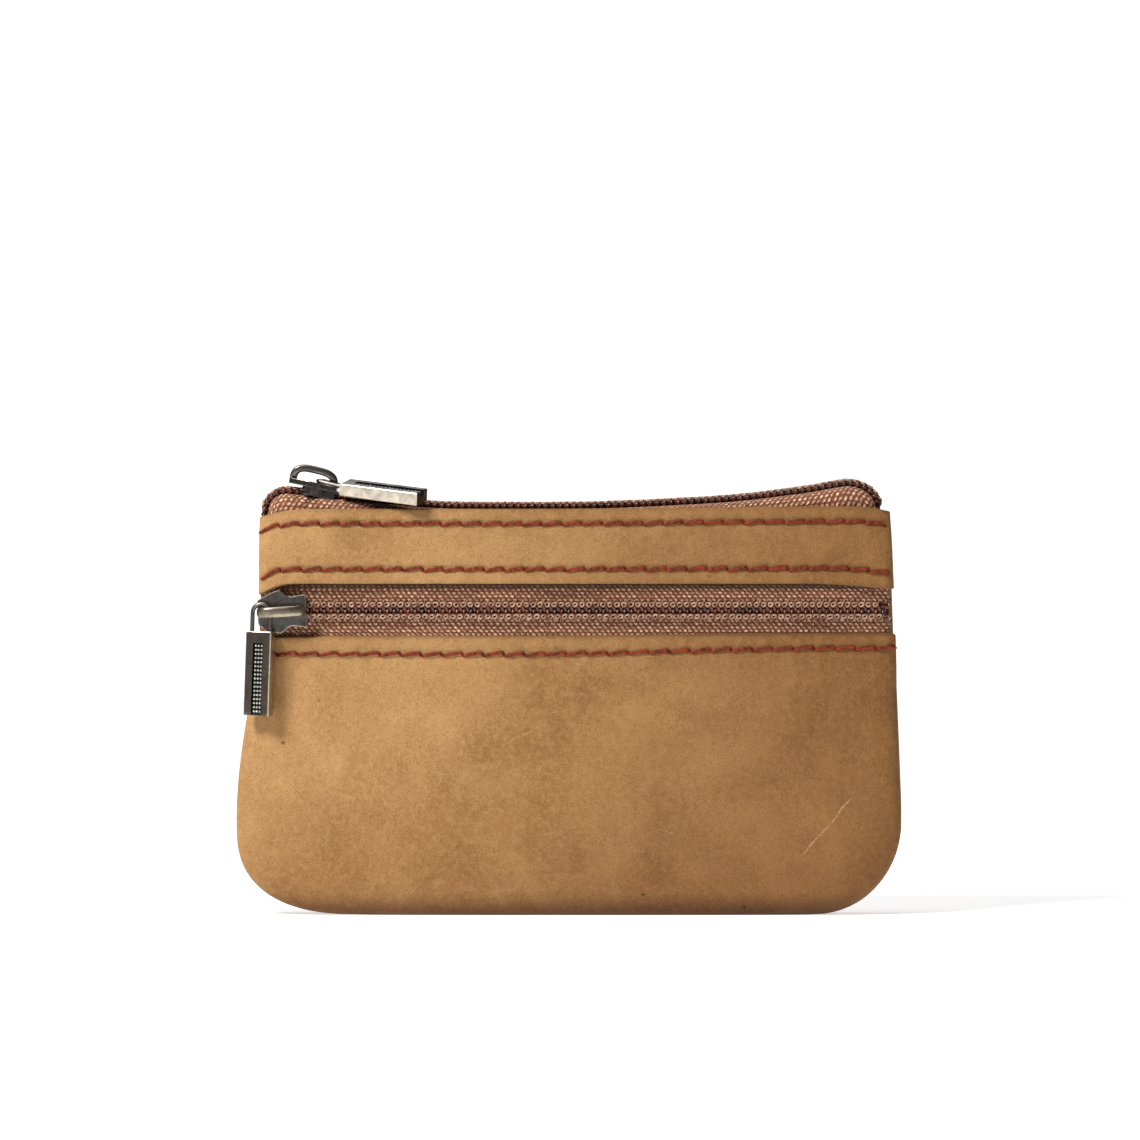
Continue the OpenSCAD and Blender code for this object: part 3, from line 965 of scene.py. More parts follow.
@dataclass(frozen=True)
class Line:
    """A line across the body: its height, and how far it drops at the ends."""

    height: float
    rise: float = 0.0
    left_drop: float = 0.0
    left_width: float = 3.5
    right_drop: float = 0.0
    right_width: float = 4.0

    def at(self, x: Array) -> Array:
        """Height of the line at x: a gentle rise to the right less a bell at each end."""
        return (self.height + self.rise * ease(x, -10, 50)
                - self.left_drop * swell(x, -57.5, self.left_width)
                - self.right_drop * swell(x, 59.5, self.right_width))


TOP_EDGE = Line(74.15, 0.5, 1.5, 4.6, 0.9, 3.5)
BAND_TOP = Line(71.45, 0.4, 1.5, 3.5, 0.8, 3.5)
BAND_LOW = Line(63.15, 0.15, 1.8, 3.4, 1.0, 5.0)
BAND_EDGE = Line(60.4, 0.0, 2.1, 3.6, 0.9, 8.0)
PANEL_EDGE = Line(50.75, 0.55, 0.3, 4.0, 0.0)
PANEL_ROW = Line(47.7, 1.1, 0.0)
BACK_ROW = Line(71.5, 0.0, 0.6, 3.5, 0.4, 3.5)


@dataclass(frozen=True)
class StitchRow:
    """One row of lockstitch through the leather."""

    name: str
    side: Side
    line: Line
    start: float
    stop: float
    pitch: float = 3.76

    def places(self) -> Array:
        """X of the middle of each stitch."""
        return np.arange(self.start, self.stop, self.pitch)


ROWS = {
    "band_top": StitchRow("band_top_stitching", Side.FRONT, BAND_TOP, -54.6, 58.0, 3.68),
    "band_low": StitchRow("band_bottom_stitching", Side.FRONT, BAND_LOW, -54.2, 58.4, 3.69),
    "panel": StitchRow("panel_top_stitching", Side.FRONT, PANEL_ROW, -55.0, 58.2),
    "back": StitchRow("back_top_stitching", Side.BACK, BACK_ROW, -54.0, 56.4)}


# ------------------------------------------------------------------ leather and its stitching

@dataclass
class LeatherShell:
    """The three leather pieces: front band, front panel and back panel."""

    form: Form
    finishes: Finishes
    column_step: float = 0.46
    edge_round: float = 0.30
    base_rows: tuple = (0.0, 0.2, 0.45, 0.7, 0.88)
    groove_z: float = 30.0
    seed: int = 11

    def undulation(self, side: Side, x: Array, z: Array) -> Array:
        """Soft unevenness of a filled leather face: a few long waves with seeded phases.

        Args:
            side: Front or back.
            x: X positions.
            z: Heights.

        Returns:
            How far the face is raised.
        """
        rng = np.random.default_rng(self.seed + side.value)
        out = np.zeros(np.broadcast(x, z).shape)
        for length, size in ((62, 0.16), (38, 0.12), (24, 0.07), (15, 0.04), (9, 0.022)):
            for _ in range(3):
                angle, phase = rng.uniform(0, np.pi), rng.uniform(0, 2 * np.pi)
                along = x * np.cos(angle) + z * np.sin(angle)
                out = out + size * np.sin(2 * np.pi * along / length + phase)
        return out

    def pucker(self, row: StitchRow, x: Array, z: Array) -> Array:
        """Relief along a row: a shallow valley, a dimple at each hole and a soft ridge beside.

        Args:
            row: The row of stitches.
            x: X positions.
            z: Heights.

        Returns:
            How far the face is raised.
        """
        across = z - row.line.at(x)
        phase = (x - row.start) / row.pitch + 0.5
        hole = np.abs(phase - np.round(phase)) * row.pitch
        inside = ramp(x, row.start - 3, row.start - 1) * ramp(x, row.stop + 2, row.stop)
        valley = -0.16 * np.exp(-(across / 0.55) ** 2)
        dimple = -0.26 * np.exp(-(hole / 0.42) ** 2 - (across / 0.42) ** 2)
        ridge = 0.07 * np.exp(-((np.abs(across) - 1.25) / 0.6) ** 2)
        ridge = ridge * (1 + 0.8 * np.cos(2 * np.pi * phase + np.pi * (across > 0)))
        return (valley + dimple + ridge) * inside

    def strip(self, side: Side, low: Line | None, high: Line, rows: int,
              stitched: Sequence[StitchRow]) -> Surface:
        """Build one leather piece.

        Its section is a closed loop up the outer face, over the cut edge and down the inner face;
        the loop is carried from the left seam to the right seam. Without a low line the piece
        starts at the bottom seam instead.

        Args:
            side: Front or back.
            low: Lower edge, or None for the bottom seam.
            high: Upper edge.
            rows: Steps up the outer face.
            stitched: The rows of stitches whose puckers it shows.

        Returns:
            The closed piece.
        """
        form, t, r = self.form, self.form.leather_t, self.edge_round
        tau = np.linspace(0, 1, rows) ** (1.35 if low is None else 1.0)
        bend = np.linspace(0, np.pi / 2, 4)
        corner = np.column_stack([-r * (1 - np.sin(bend)), r * (1 - np.cos(bend))])
        top = [(1.0, dz, i) for dz, i in corner] + [(1.0, dz, t - i) for dz, i in corner[::-1]]
        back = [(v, 0.0, t) for v in tau[::-2]]
        if low is None:
            loop = [(v, 0.0, 0.0) for v in tau[:-1]] + top + back[1:]
        else:
            foot = [(0.0, -dz, t - i) for dz, i in corner]
            foot += [(0.0, -dz, i) for dz, i in corner[::-1]]
            loop = [(v, 0.0, 0.0) for v in tau[1:-1]] + top + back[1:-1] + foot
        loop = np.array(loop)
        phi = form.columns(self.column_step)[None, :]
        share, drop, inset = (loop[:, k][:, None] for k in range(3))
        z_low = 0.0 if low is None else low.at(form.plan_x(side, low.height, phi))
        z = z_low + (high.at(form.plan_x(side, high.height, phi)) - z_low) * share + drop
        points = form.skin(side, z, phi, inset + 0 * z)
        if low is None:
            points = self.wrap_base(points)
        return self.finish(side, points, inset, stitched, low, high)

    def wrap_base(self, points: Array) -> Array:
        """Add the rows under the flat bottom, from the seam out to the first and last row.

        Args:
            points: Grid of points.

        Returns:
            The longer grid.
        """
        t = self.form.leather_t
        shares = np.array(self.base_rows)

        def under(row: Array, inset: float) -> Array:
            """Rows from the seam out to one row, at one height."""
            mid = float(self.form.middle(np.array(0.0)))
            share = shares[:, None]
            x = mid + (row[None, :, 0] - mid) * (0.97 + 0.03 * share)
            y = row[None, :, 1] * share
            return np.stack([x, y, np.full(x.shape, inset)], axis=-1)

        outer, inner = under(points[0], 0.0), under(points[-1], t)
        return np.concatenate([outer, points, inner[::-1]])

    def finish(self, side: Side, points: Array, inset: Array, stitched: Sequence[StitchRow],
               low: Line | None, high: Line) -> Surface:
        """Press in the seam groove, raise the face's relief, and close the piece.

        Args:
            side: Front or back.
            points: Grid of points.
            inset: Distance inside the face.
            stitched: Rows whose puckers it shows.
            low: Lower edge, or None for the seam.
            high: Upper edge.

        Returns:
            The closed piece.
        """
        x, y, z = points[..., 0], points[..., 1], points[..., 2]
        under = 0 if low is not None else len(self.base_rows)
        thickness = np.full((under, 1), self.form.leather_t)
        inset = np.concatenate([np.zeros((under, 1)), inset, thickness])
        open_share = np.clip(np.abs(y) / 3.0, 0, 1)
        relief = self.undulation(side, x, z) * open_share
        for row in stitched:
            relief = relief + self.pucker(row, x, z) * open_share * (inset < 0.6)
        lift = 0.22 * np.exp(-((z - high.at(x)) / 1.6) ** 2) * (high is not TOP_EDGE)
        if low is not None:
            lift = lift + 0.28 * np.exp(-((z - low.at(x)) / 1.6) ** 2)
        standing = ramp(z, 0.0, 3.0)
        y_new = y + side.value * (relief * standing + lift * open_share)
        groove = self.form.seam_depth * np.exp(-(y / 0.75) ** 2) * (inset < 0.6)
        out = x - float(self.form.middle(np.array(self.groove_z)))
        sideways = np.clip((np.abs(out) - 0.6 * self.form.half_w) / (0.3 * self.form.half_w), 0, 1)
        x_new = x - np.sign(out) * groove * sideways
        z_new = z + groove * np.exp(-z / 1.2) * (z < 5)
        placed = np.stack([x_new, y_new, z_new], axis=-1)
        rows, cols = placed.shape[:2]
        quads = grid_faces(rows, cols, wrap_rows=True).tolist()
        quads += [[r * cols for r in range(rows)], [r * cols + cols - 1 for r in range(rows)][::-1]]
        surface = Surface(placed.reshape(-1, 3), quads)
        return facing_out(surface)

    def rim(self, piece: bpy.types.Object, lines: Sequence[Line]) -> None:
        """Mark how near each point is to a cut edge, for the darker worn rim.

        Args:
            piece: The object to change.
            lines: The cut edges.
        """
        mesh = piece.data
        flat = np.empty(len(mesh.vertices) * 3, dtype=np.float32)
        mesh.vertices.foreach_get("co", flat)
        points = flat.reshape(-1, 3) / MM
        near = np.zeros(len(points))
        for line in lines:
            near = np.maximum(near, np.exp(-(np.abs(points[:, 2] - line.at(points[:, 0])) / 0.32)))
        near = near * (1 - ramp(points[:, 2], self.form.top_z + 2, self.form.top_z + 3))
        layer = mesh.attributes.new("rim", "FLOAT", "POINT")
        layer.data.foreach_set("value", near.astype(np.float32))

    def build(self) -> None:
        """Make the three pieces."""
        front = self.finishes.leather("front nubuck", Hide())
        back = self.finishes.leather("back nubuck", Hide(scuffs=()))
        band_rows = (ROWS["band_top"], ROWS["band_low"])
        plans = (
            ("front_band", Side.FRONT, BAND_EDGE, TOP_EDGE, 44, band_rows, front),
            ("front_panel", Side.FRONT, None, PANEL_EDGE, 100, (ROWS["panel"],), front),
            ("back_panel", Side.BACK, None, TOP_EDGE, 120, (ROWS["back"],), back))
        for name, side, low, high, rows, stitched, material in plans:
            surface = self.strip(side, low, high, rows, stitched)
            piece = surface.make(name + "_leather")
            self.rim(piece, [line for line in (low, high) if line is not None])
            piece.data.materials.append(material)
            place(piece, "pouch", "leather", name)


def place(piece: bpy.types.Object, body: str, slot: str, *nodes: str) -> None:
    """Put a piece on its body and let it stand for its nodes, which it hides.

    Args:
        piece: The finished piece.
        body: The body it rides on.
        slot: Not used.
        *nodes: The nodes it replaces.
    """
    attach(piece, body)
    if nodes:
        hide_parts(*nodes)
    LOG.info("%s: %d faces on %s", piece.name, len(piece.data.polygons), body)


@dataclass
class Stitching:
    """Rows of slanted two-ply stitches, and the hidden seam thread."""

    shell: LeatherShell
    finishes: Finishes
    thread_r: float = 0.30
    rings: int = 21
    sides: int = 10
    slant: float = 0.33

    def stitch(self, row: StitchRow, x: float, rng: np.random.Generator) -> Surface:
        """One stitch: a twisted two-ply thread that dives into a hole at each end.

        Its middle line climbs to the right, then drops to where the next stitch starts, and its
        radius is r * (1 + 0.16 cos 2(angle - twist)), which is what two plies look like.

        Args:
            row: The row of stitches.
            x: Middle of the stitch.
            rng: Source of unevenness.

        Returns:
            The stitch.
        """
        t = np.linspace(-1, 1, self.rings)
        xs = x + 0.5 * row.pitch * t
        climb = t * rng.uniform(0.7, 1.2) * (1 - 1.5 * ease(t, 0.72, 1.0))
        z0 = row.line.at(xs) + self.slant * climb + rng.uniform(-0.05, 0.05)
        base = self.shell.form.on_skin(row.side, xs, z0)
        uneven = self.shell.undulation(row.side, xs, z0) * np.clip(np.abs(base[:, 1]) / 3.0, 0, 1)
        arch = uneven + 0.17 - 0.42 * np.abs(t) ** 9
        path = base + np.array([0, row.side.value, 0]) * arch[:, None]
        forward = np.gradient(path, axis=0)
        forward /= np.linalg.norm(forward, axis=1, keepdims=True)
        outward = np.array([0.0, row.side.value, 0.0])
        lateral = np.cross(forward, outward)
        lateral /= np.linalg.norm(lateral, axis=1, keepdims=True)
        normal = np.cross(lateral, forward)

        def section(angle: Array, place_: Array) -> tuple[Array, Array]:
            """Two twisted plies, slimmer at both ends."""
            slim = 1 - 0.35 * np.abs(2 * place_ - 1) ** 8
            radius = self.thread_r * slim * (1 + 0.16 * np.cos(2 * (angle - 9.5 * place_)))
            return radius * np.cos(angle), radius * np.sin(angle)

        return tube(path, section, lateral, normal, self.sides)

    def build(self) -> None:
        """Make each row, and dress the hidden seam thread."""
        thread = self.finishes.yarn("rust thread", RUST_THREAD)
        for number, row in enumerate(ROWS.values()):
            rng = np.random.default_rng(40 + number)
            surface = joined([self.stitch(row, float(x), rng) for x in row.places()])
            piece = surface.make(row.name + "_rows")
            piece.data.materials.append(thread)
            place(piece, "pouch", "thread", row.name)
        dress_node("seam_thread", thread)


def dress_node(node: str, material: bpy.types.Material) -> None:
    """Give a node of the frame a better material in all its slots.

    Args:
        node: Name of the node.
        material: The new material.
    """
    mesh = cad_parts[node].data
    mesh.materials.clear()
    mesh.materials.append(material)


# ------------------------------------------------------------------ zips

@dataclass
class ChainPath:
    """Middle line of a closed chain with its outward directions.

    Attributes:
        points: (n, 3) points, evenly spaced.
        normal: (n, 3) directions out of the tape.
        lateral: Direction across the chain.
    """

    points: Array
    normal: Array
    lateral: Array

    @classmethod
    def along(cls, points: Array, lateral: Sequence[float], outward: float) -> "ChainPath":
        """Space points evenly along a line, and take its normals from its direction.

        Args:
            points: Rough points of the line.
            lateral: Direction across the chain.
            outward: 1 or -1, to turn the normals out.

        Returns:
            The path.
        """
        s = run(points)
        even = np.linspace(0, s[-1], int(s[-1] / 0.12))
        dense = np.column_stack([np.interp(even, s, points[:, k]) for k in range(3)])
        ahead = np.gradient(dense, axis=0)
        window = np.ones(9) / 9
        padded = np.pad(ahead, ((4, 4), (0, 0)), mode="edge")
        ahead = np.column_stack([np.convolve(padded[:, k], window, mode="valid") for k in range(3)])
        ahead /= np.linalg.norm(ahead, axis=1, keepdims=True)
        normal = outward * np.cross(ahead, np.array(lateral))
        return cls(dense, normal, np.array(lateral, dtype=float))

    def length(self) -> float:
        """Length of the path."""
        return float(run(self.points)[-1])

    def at(self, distance: Array) -> tuple[Array, Array]:
        """Points and normals at distances along the path.

        Args:
            distance: Distances from the start.

        Returns:
            The points and the normals there.
        """
        s = np.linspace(0, self.length(), len(self.points))
        point = np.stack([np.interp(distance, s, self.points[:, k]) for k in range(3)], axis=-1)
        normal = np.stack([np.interp(distance, s, self.normal[:, k]) for k in range(3)], axis=-1)
        return point, normal


@dataclass
class Chain:
    """Two nylon coils sewn to their tapes, meshed down the middle."""

    path: ChainPath
    pitch: float = 1.27
    wire_r: float = 0.31
    reach: float = 0.86
    middle: float = 0.62
    height: float = 0.46
    turn_steps: int = 12

    def coil(self, sign: int) -> Surface:
        """One coil.

        The wire's middle is path + (middle + reach cos t) across + height sin t outwards, with t
        turning once for each pitch; the second coil runs half a pitch behind the first.

        Args:
            sign: 1 or -1, for the side of the middle.

        Returns:
            The coil with its cord.
        """
        turns = int(self.path.length() / self.pitch) - 1
        t = np.linspace(0, 2 * np.pi * turns, turns * self.turn_steps)
        s = self.pitch * (t / (2 * np.pi) + (0.25 if sign > 0 else 0.75))
        point, normal = self.path.at(s)
        across = sign * (self.middle + self.reach * np.cos(t) * (1 + 0.06 * np.cos(2 * t)))
        up = self.height * np.sin(t)
        line = point + across[:, None] * self.path.lateral + up[:, None] * normal
        ahead = np.gradient(line, axis=0)
        ahead /= np.linalg.norm(ahead, axis=1, keepdims=True)
        along = np.cross(self.path.lateral, normal)
        side = along - (along * ahead).sum(1, keepdims=True) * ahead
        side /= np.linalg.norm(side, axis=1, keepdims=True)
        third = np.cross(ahead, side)

        wire = tube(line, oval(self.wire_r * 1.12, self.wire_r), side, third, 7)
        return joined([wire, self.core(sign)])

    def core(self, sign: int) -> Surface:
        """The flat cord that runs inside a coil.

        Args:
            sign: 1 or -1, for the side of the middle.

        Returns:
            The cord.
        """
        s = np.arange(0.6, self.path.length() - 0.6, 0.6)
        point, normal = self.path.at(s)
        line = point + sign * (self.middle + 0.22) * self.path.lateral
        return tube(line, oval(0.55, 0.30), self.path.lateral, normal, 8)

    def loops(self, sign: int, seed: int) -> Surface:
        """Sewing loops that hold a coil down: one slanted ring of thread for each turn.

        Args:
            sign: 1 or -1, for the side of the middle.
            seed: Seed of the unevenness.

        Returns:
            All the loops.
        """
        rng = np.random.default_rng(seed)
        count = int(self.path.length() / self.pitch) - 3
        s = self.pitch * (np.arange(count) + 1.7 + (0.25 if sign > 0 else 0.75))
        point, normal = self.path.at(s)
        along = np.cross(self.path.lateral, normal)
        rings = []
        t = np.linspace(0, 2 * np.pi, 11, endpoint=False)
        for k in range(count):
            a = 0.42 * rng.uniform(0.9, 1.1)
            b = 0.36 * rng.uniform(0.9, 1.1)
            skew = rng.uniform(0.15, 0.45)
            across = sign * 1.10 + b * np.sin(t)
            ahead = a * np.cos(t) + skew * b * np.sin(t)
            up = self.height + self.wire_r * 0.55 + 0.13 * np.cos(t - 0.8) + rng.uniform(-0.03, 0.03)
            ring = (point[k] + across[:, None] * self.path.lateral + ahead[:, None] * along[k]
                    + up[:, None] * normal[k])
            out = ring - ring.mean(axis=0)
            out -= (out @ normal[k])[:, None] * normal[k]
            out /= np.linalg.norm(out, axis=1, keepdims=True)
            rings.append(tube(ring, oval(0.17, 0.17), out, normal[k], 6, closed=True))
        return joined(rings)

    def tails(self, sign: int) -> Surface:
        """Short slanted threads between a coil's loops and the tape beside it.

        Args:
            sign: 1 or -1, for the side of the middle.

        Returns:
            All the threads.
        """
        count = int(self.path.length() / self.pitch) - 1
        s = self.pitch * (np.arange(count) + 1.15 + (0.25 if sign > 0 else 0.75))
        point, normal = self.path.at(s)
        along = np.cross(self.path.lateral, normal)
        t = np.linspace(0, 1, 6)
        pieces = []
        for k in range(count):
            across = sign * (1.35 + 0.75 * t)
            up = self.height + 0.10 - 1.05 * t ** 1.6
            ahead = -0.05 + 0.35 * t
            line = (point[k] + across[:, None] * self.path.lateral + ahead[:, None] * along[k]
                    + up[:, None] * normal[k])
            pieces.append(tube(line, oval(0.12, 0.12), along[k], normal[k], 6))
        return joined(pieces)


@dataclass
class Zips:
    """The front and top zips: woven tapes, coils and the thread that sews them together."""

    form: Form
    finishes: Finishes
    coil_t: float = 1.5
    tape_t: float = 0.45
    arc_r: float = 383.0
    arc_x: float = -4.5
    arc_low: float = 74.65
    chain_lift: float = 0.22
    end_left: float = -51.6
    end_right: float = 50.8

    def tape_inset(self) -> float:
        """How far a tape's outer face lies inside the leather's face."""
        return self.form.leather_t + 0.05

    def coil_depth(self) -> float:
        """Half depth of the front chain's middle line."""
        return float(self.form.depth(np.array(self.form.zip_z))) - self.tape_inset() + self.coil_t / 2

    def front_path(self) -> ChainPath:
        """Straight along the front, turning in to the seam at both ends.

        Returns:
            The path.
        """
        z = np.array(self.form.zip_z + self.chain_lift)
        phi = np.linspace(np.pi - 0.70, 0.70, 900)
        u, s = self.form.round_plan(Side.FRONT, z, phi)
        reach = self.form.half(z) - 0.85
        points = np.column_stack([self.form.middle(z) + reach * u, -self.coil_depth() * s,
                                  np.full(u.shape, float(z))])
        return ChainPath.along(points, (0, 0, 1), 1.0)

    def arc(self, x: Array) -> Array:
        """Height of the top chain's middle line between its ends."""
        z = self.arc_low + self.arc_r - np.sqrt(self.arc_r ** 2 - (x - self.arc_x) ** 2)
        return z - 0.30 * swell(x, -24, 10) - 0.18 * swell(x, 31, 9) + 0.25 * swell(x, 50, 4)

    def top_path(self) -> ChainPath:
        """Along the long curve, then round and down to the seam at both ends.

        Returns:
            The path.
        """
        x = np.linspace(self.end_left, self.end_right, 1200)
        middle = np.column_stack([x, np.zeros_like(x), self.arc(x)])
        bend = np.linspace(0, np.pi / 2, 80)[1:]
        drop = np.linspace(0.1, 1.6, 16)

        def end(start: Array, sign: int, a: float, b: float) -> Array:
            """The turn down to the seam at one end."""
            curve = np.column_stack([start[0] + sign * a * np.sin(bend), 0 * bend,
                                     start[2] - b * (1 - np.cos(bend))])
            down = np.column_stack([np.full(drop.shape, curve[-1, 0]), 0 * drop, curve[-1, 2] - drop])
            return np.concatenate([curve, down])

        left = end(middle[0], -1, 4.0, 4.0)[::-1]
        right = end(middle[-1], 1, 5.9, 4.6)
        return ChainPath.along(np.concatenate([left, middle, right]), (0, 1, 0), 1.0)

    def front_tape(self, upper: bool) -> Surface:
        """A tape that runs from beside the front chain to behind the leather.

        Args:
            upper: Whether it is the upper tape.

        Returns:
            The tape.
        """
        z0 = self.form.zip_z + self.chain_lift
        low, high = (z0 + 0.35, z0 + 8.2) if upper else (z0 - 8.6, z0 - 0.35)
        rows = 22
        z = np.linspace(low, high, rows)[:, None]
        phi = self.form.columns(0.8, 12)[None, :]
        faces = []
        for inset in (self.tape_inset(), self.tape_inset() + self.tape_t):
            u, s = self.form.round_plan(Side.FRONT, z, phi)
            shown = np.where(u < 0, 0.25, 0.85)
            tucked = shown + (inset - shown) * ease(np.abs(z - z0), 3.4, 4.8)
            x = self.form.middle(z) + (self.form.half(z) - tucked) * u
            sag = 0.10 * np.sin(x / 3.1 + 0.4 * z) * np.exp(-((np.abs(z - z0) - 2.9) / 1.6) ** 2)
            y = -(self.form.depth(z) - inset + sag) * s
            faces.append(np.stack(np.broadcast_arrays(x, y, z), axis=-1))
        return cloth_sheet(faces[0], faces[1])

    def top_tape(self, side: Side, path: ChainPath) -> Surface:
        """A tape that leaves the top chain sideways and turns down inside the leather.

        Between the chain's edge A and the foot B the point at angle a is sideways by sin^0.55 a of
        the way and down by 1 - cos^0.55 a of the way, a squarish quarter curve.

        Args:
            side: Front or back.
            path: Middle line of the chain.

        Returns:
            The tape.
        """
        point, normal = path.points[::5], path.normal[::5]
        foot_z = 69.0
        inner = self.tape_inset()
        top = self.form.top_z
        n = 5.0
        half = float(self.form.half(np.array(top))) - inner
        u = np.clip((point[:, 0] - float(self.form.middle(np.array(top)))) / half, -0.9995, 0.9995)
        share = (1 - np.abs(u) ** n) ** (1 / n)
        rows = 26
        angle = np.linspace(0, np.pi / 2, rows)[:, None]
        out, down = np.sin(angle) ** 0.55, np.cos(angle) ** 0.55
        layers = []
        for extra in (0.0, self.tape_t):
            start = point - (0.5 + extra) * normal
            lateral = np.maximum((self.form.mouth_half - inner - extra) * share, 0.45)
            y = side.value * (0.30 + (lateral - 0.30)[None, :] * out)
            foot_x = point[:, 0] * 0.2 + 0.8 * (float(self.form.middle(np.array(top))) + half * u)
            x = foot_x[None, :] + (start[:, 0] - foot_x)[None, :] * down
            z = foot_z + (start[:, 2] - foot_z)[None, :] * down
            ripple = 0.07 * np.sin(x / 2.3) * np.sin(2 * angle)
            layers.append(np.stack([x, y + side.value * ripple, z], axis=-1))
        return cloth_sheet(layers[0], layers[1])

    def build(self) -> None:
        """Make both zips."""
        cloth = self.finishes.woven("zip tape", TAPE_CLOTH)
        nylon = self.finishes.nylon("coil nylon")
        sewing = self.finishes.yarn("chain sewing thread", LOOP_THREAD)
        top = self.top_path()
        tapes = {
            "front_tape_upper": self.front_tape(True), "front_tape_lower": self.front_tape(False),
            "top_tape_front": self.top_tape(Side.FRONT, top),
            "top_tape_back": self.top_tape(Side.BACK, top)}
        for node, surface in tapes.items():
            piece = surface.make(node + "_woven")
            piece.data.materials.append(cloth)
            place(piece, "pouch", "zip_tape", node)
        halves = {
            "front_coil_upper": (Chain(self.front_path()), 1),
            "front_coil_lower": (Chain(self.front_path()), -1),
            "top_coil_back": (Chain(top), 1), "top_coil_front": (Chain(top), -1)}
        for number, (node, (chain, sign)) in enumerate(halves.items()):
            piece = chain.coil(sign).make(node + "_wire")
            piece.data.materials.append(nylon)
            place(piece, "pouch", "zip_coil", node)
            sewn = chain.loops(sign, 70 + number)
            if node.startswith("front"):
                sewn = joined([sewn, chain.tails(sign)])
            thread = sewn.make(node + "_sewing")
            thread.data.materials.append(sewing)
            place(thread, "pouch", "thread")


# ------------------------------------------------------------------ sliders and pulls

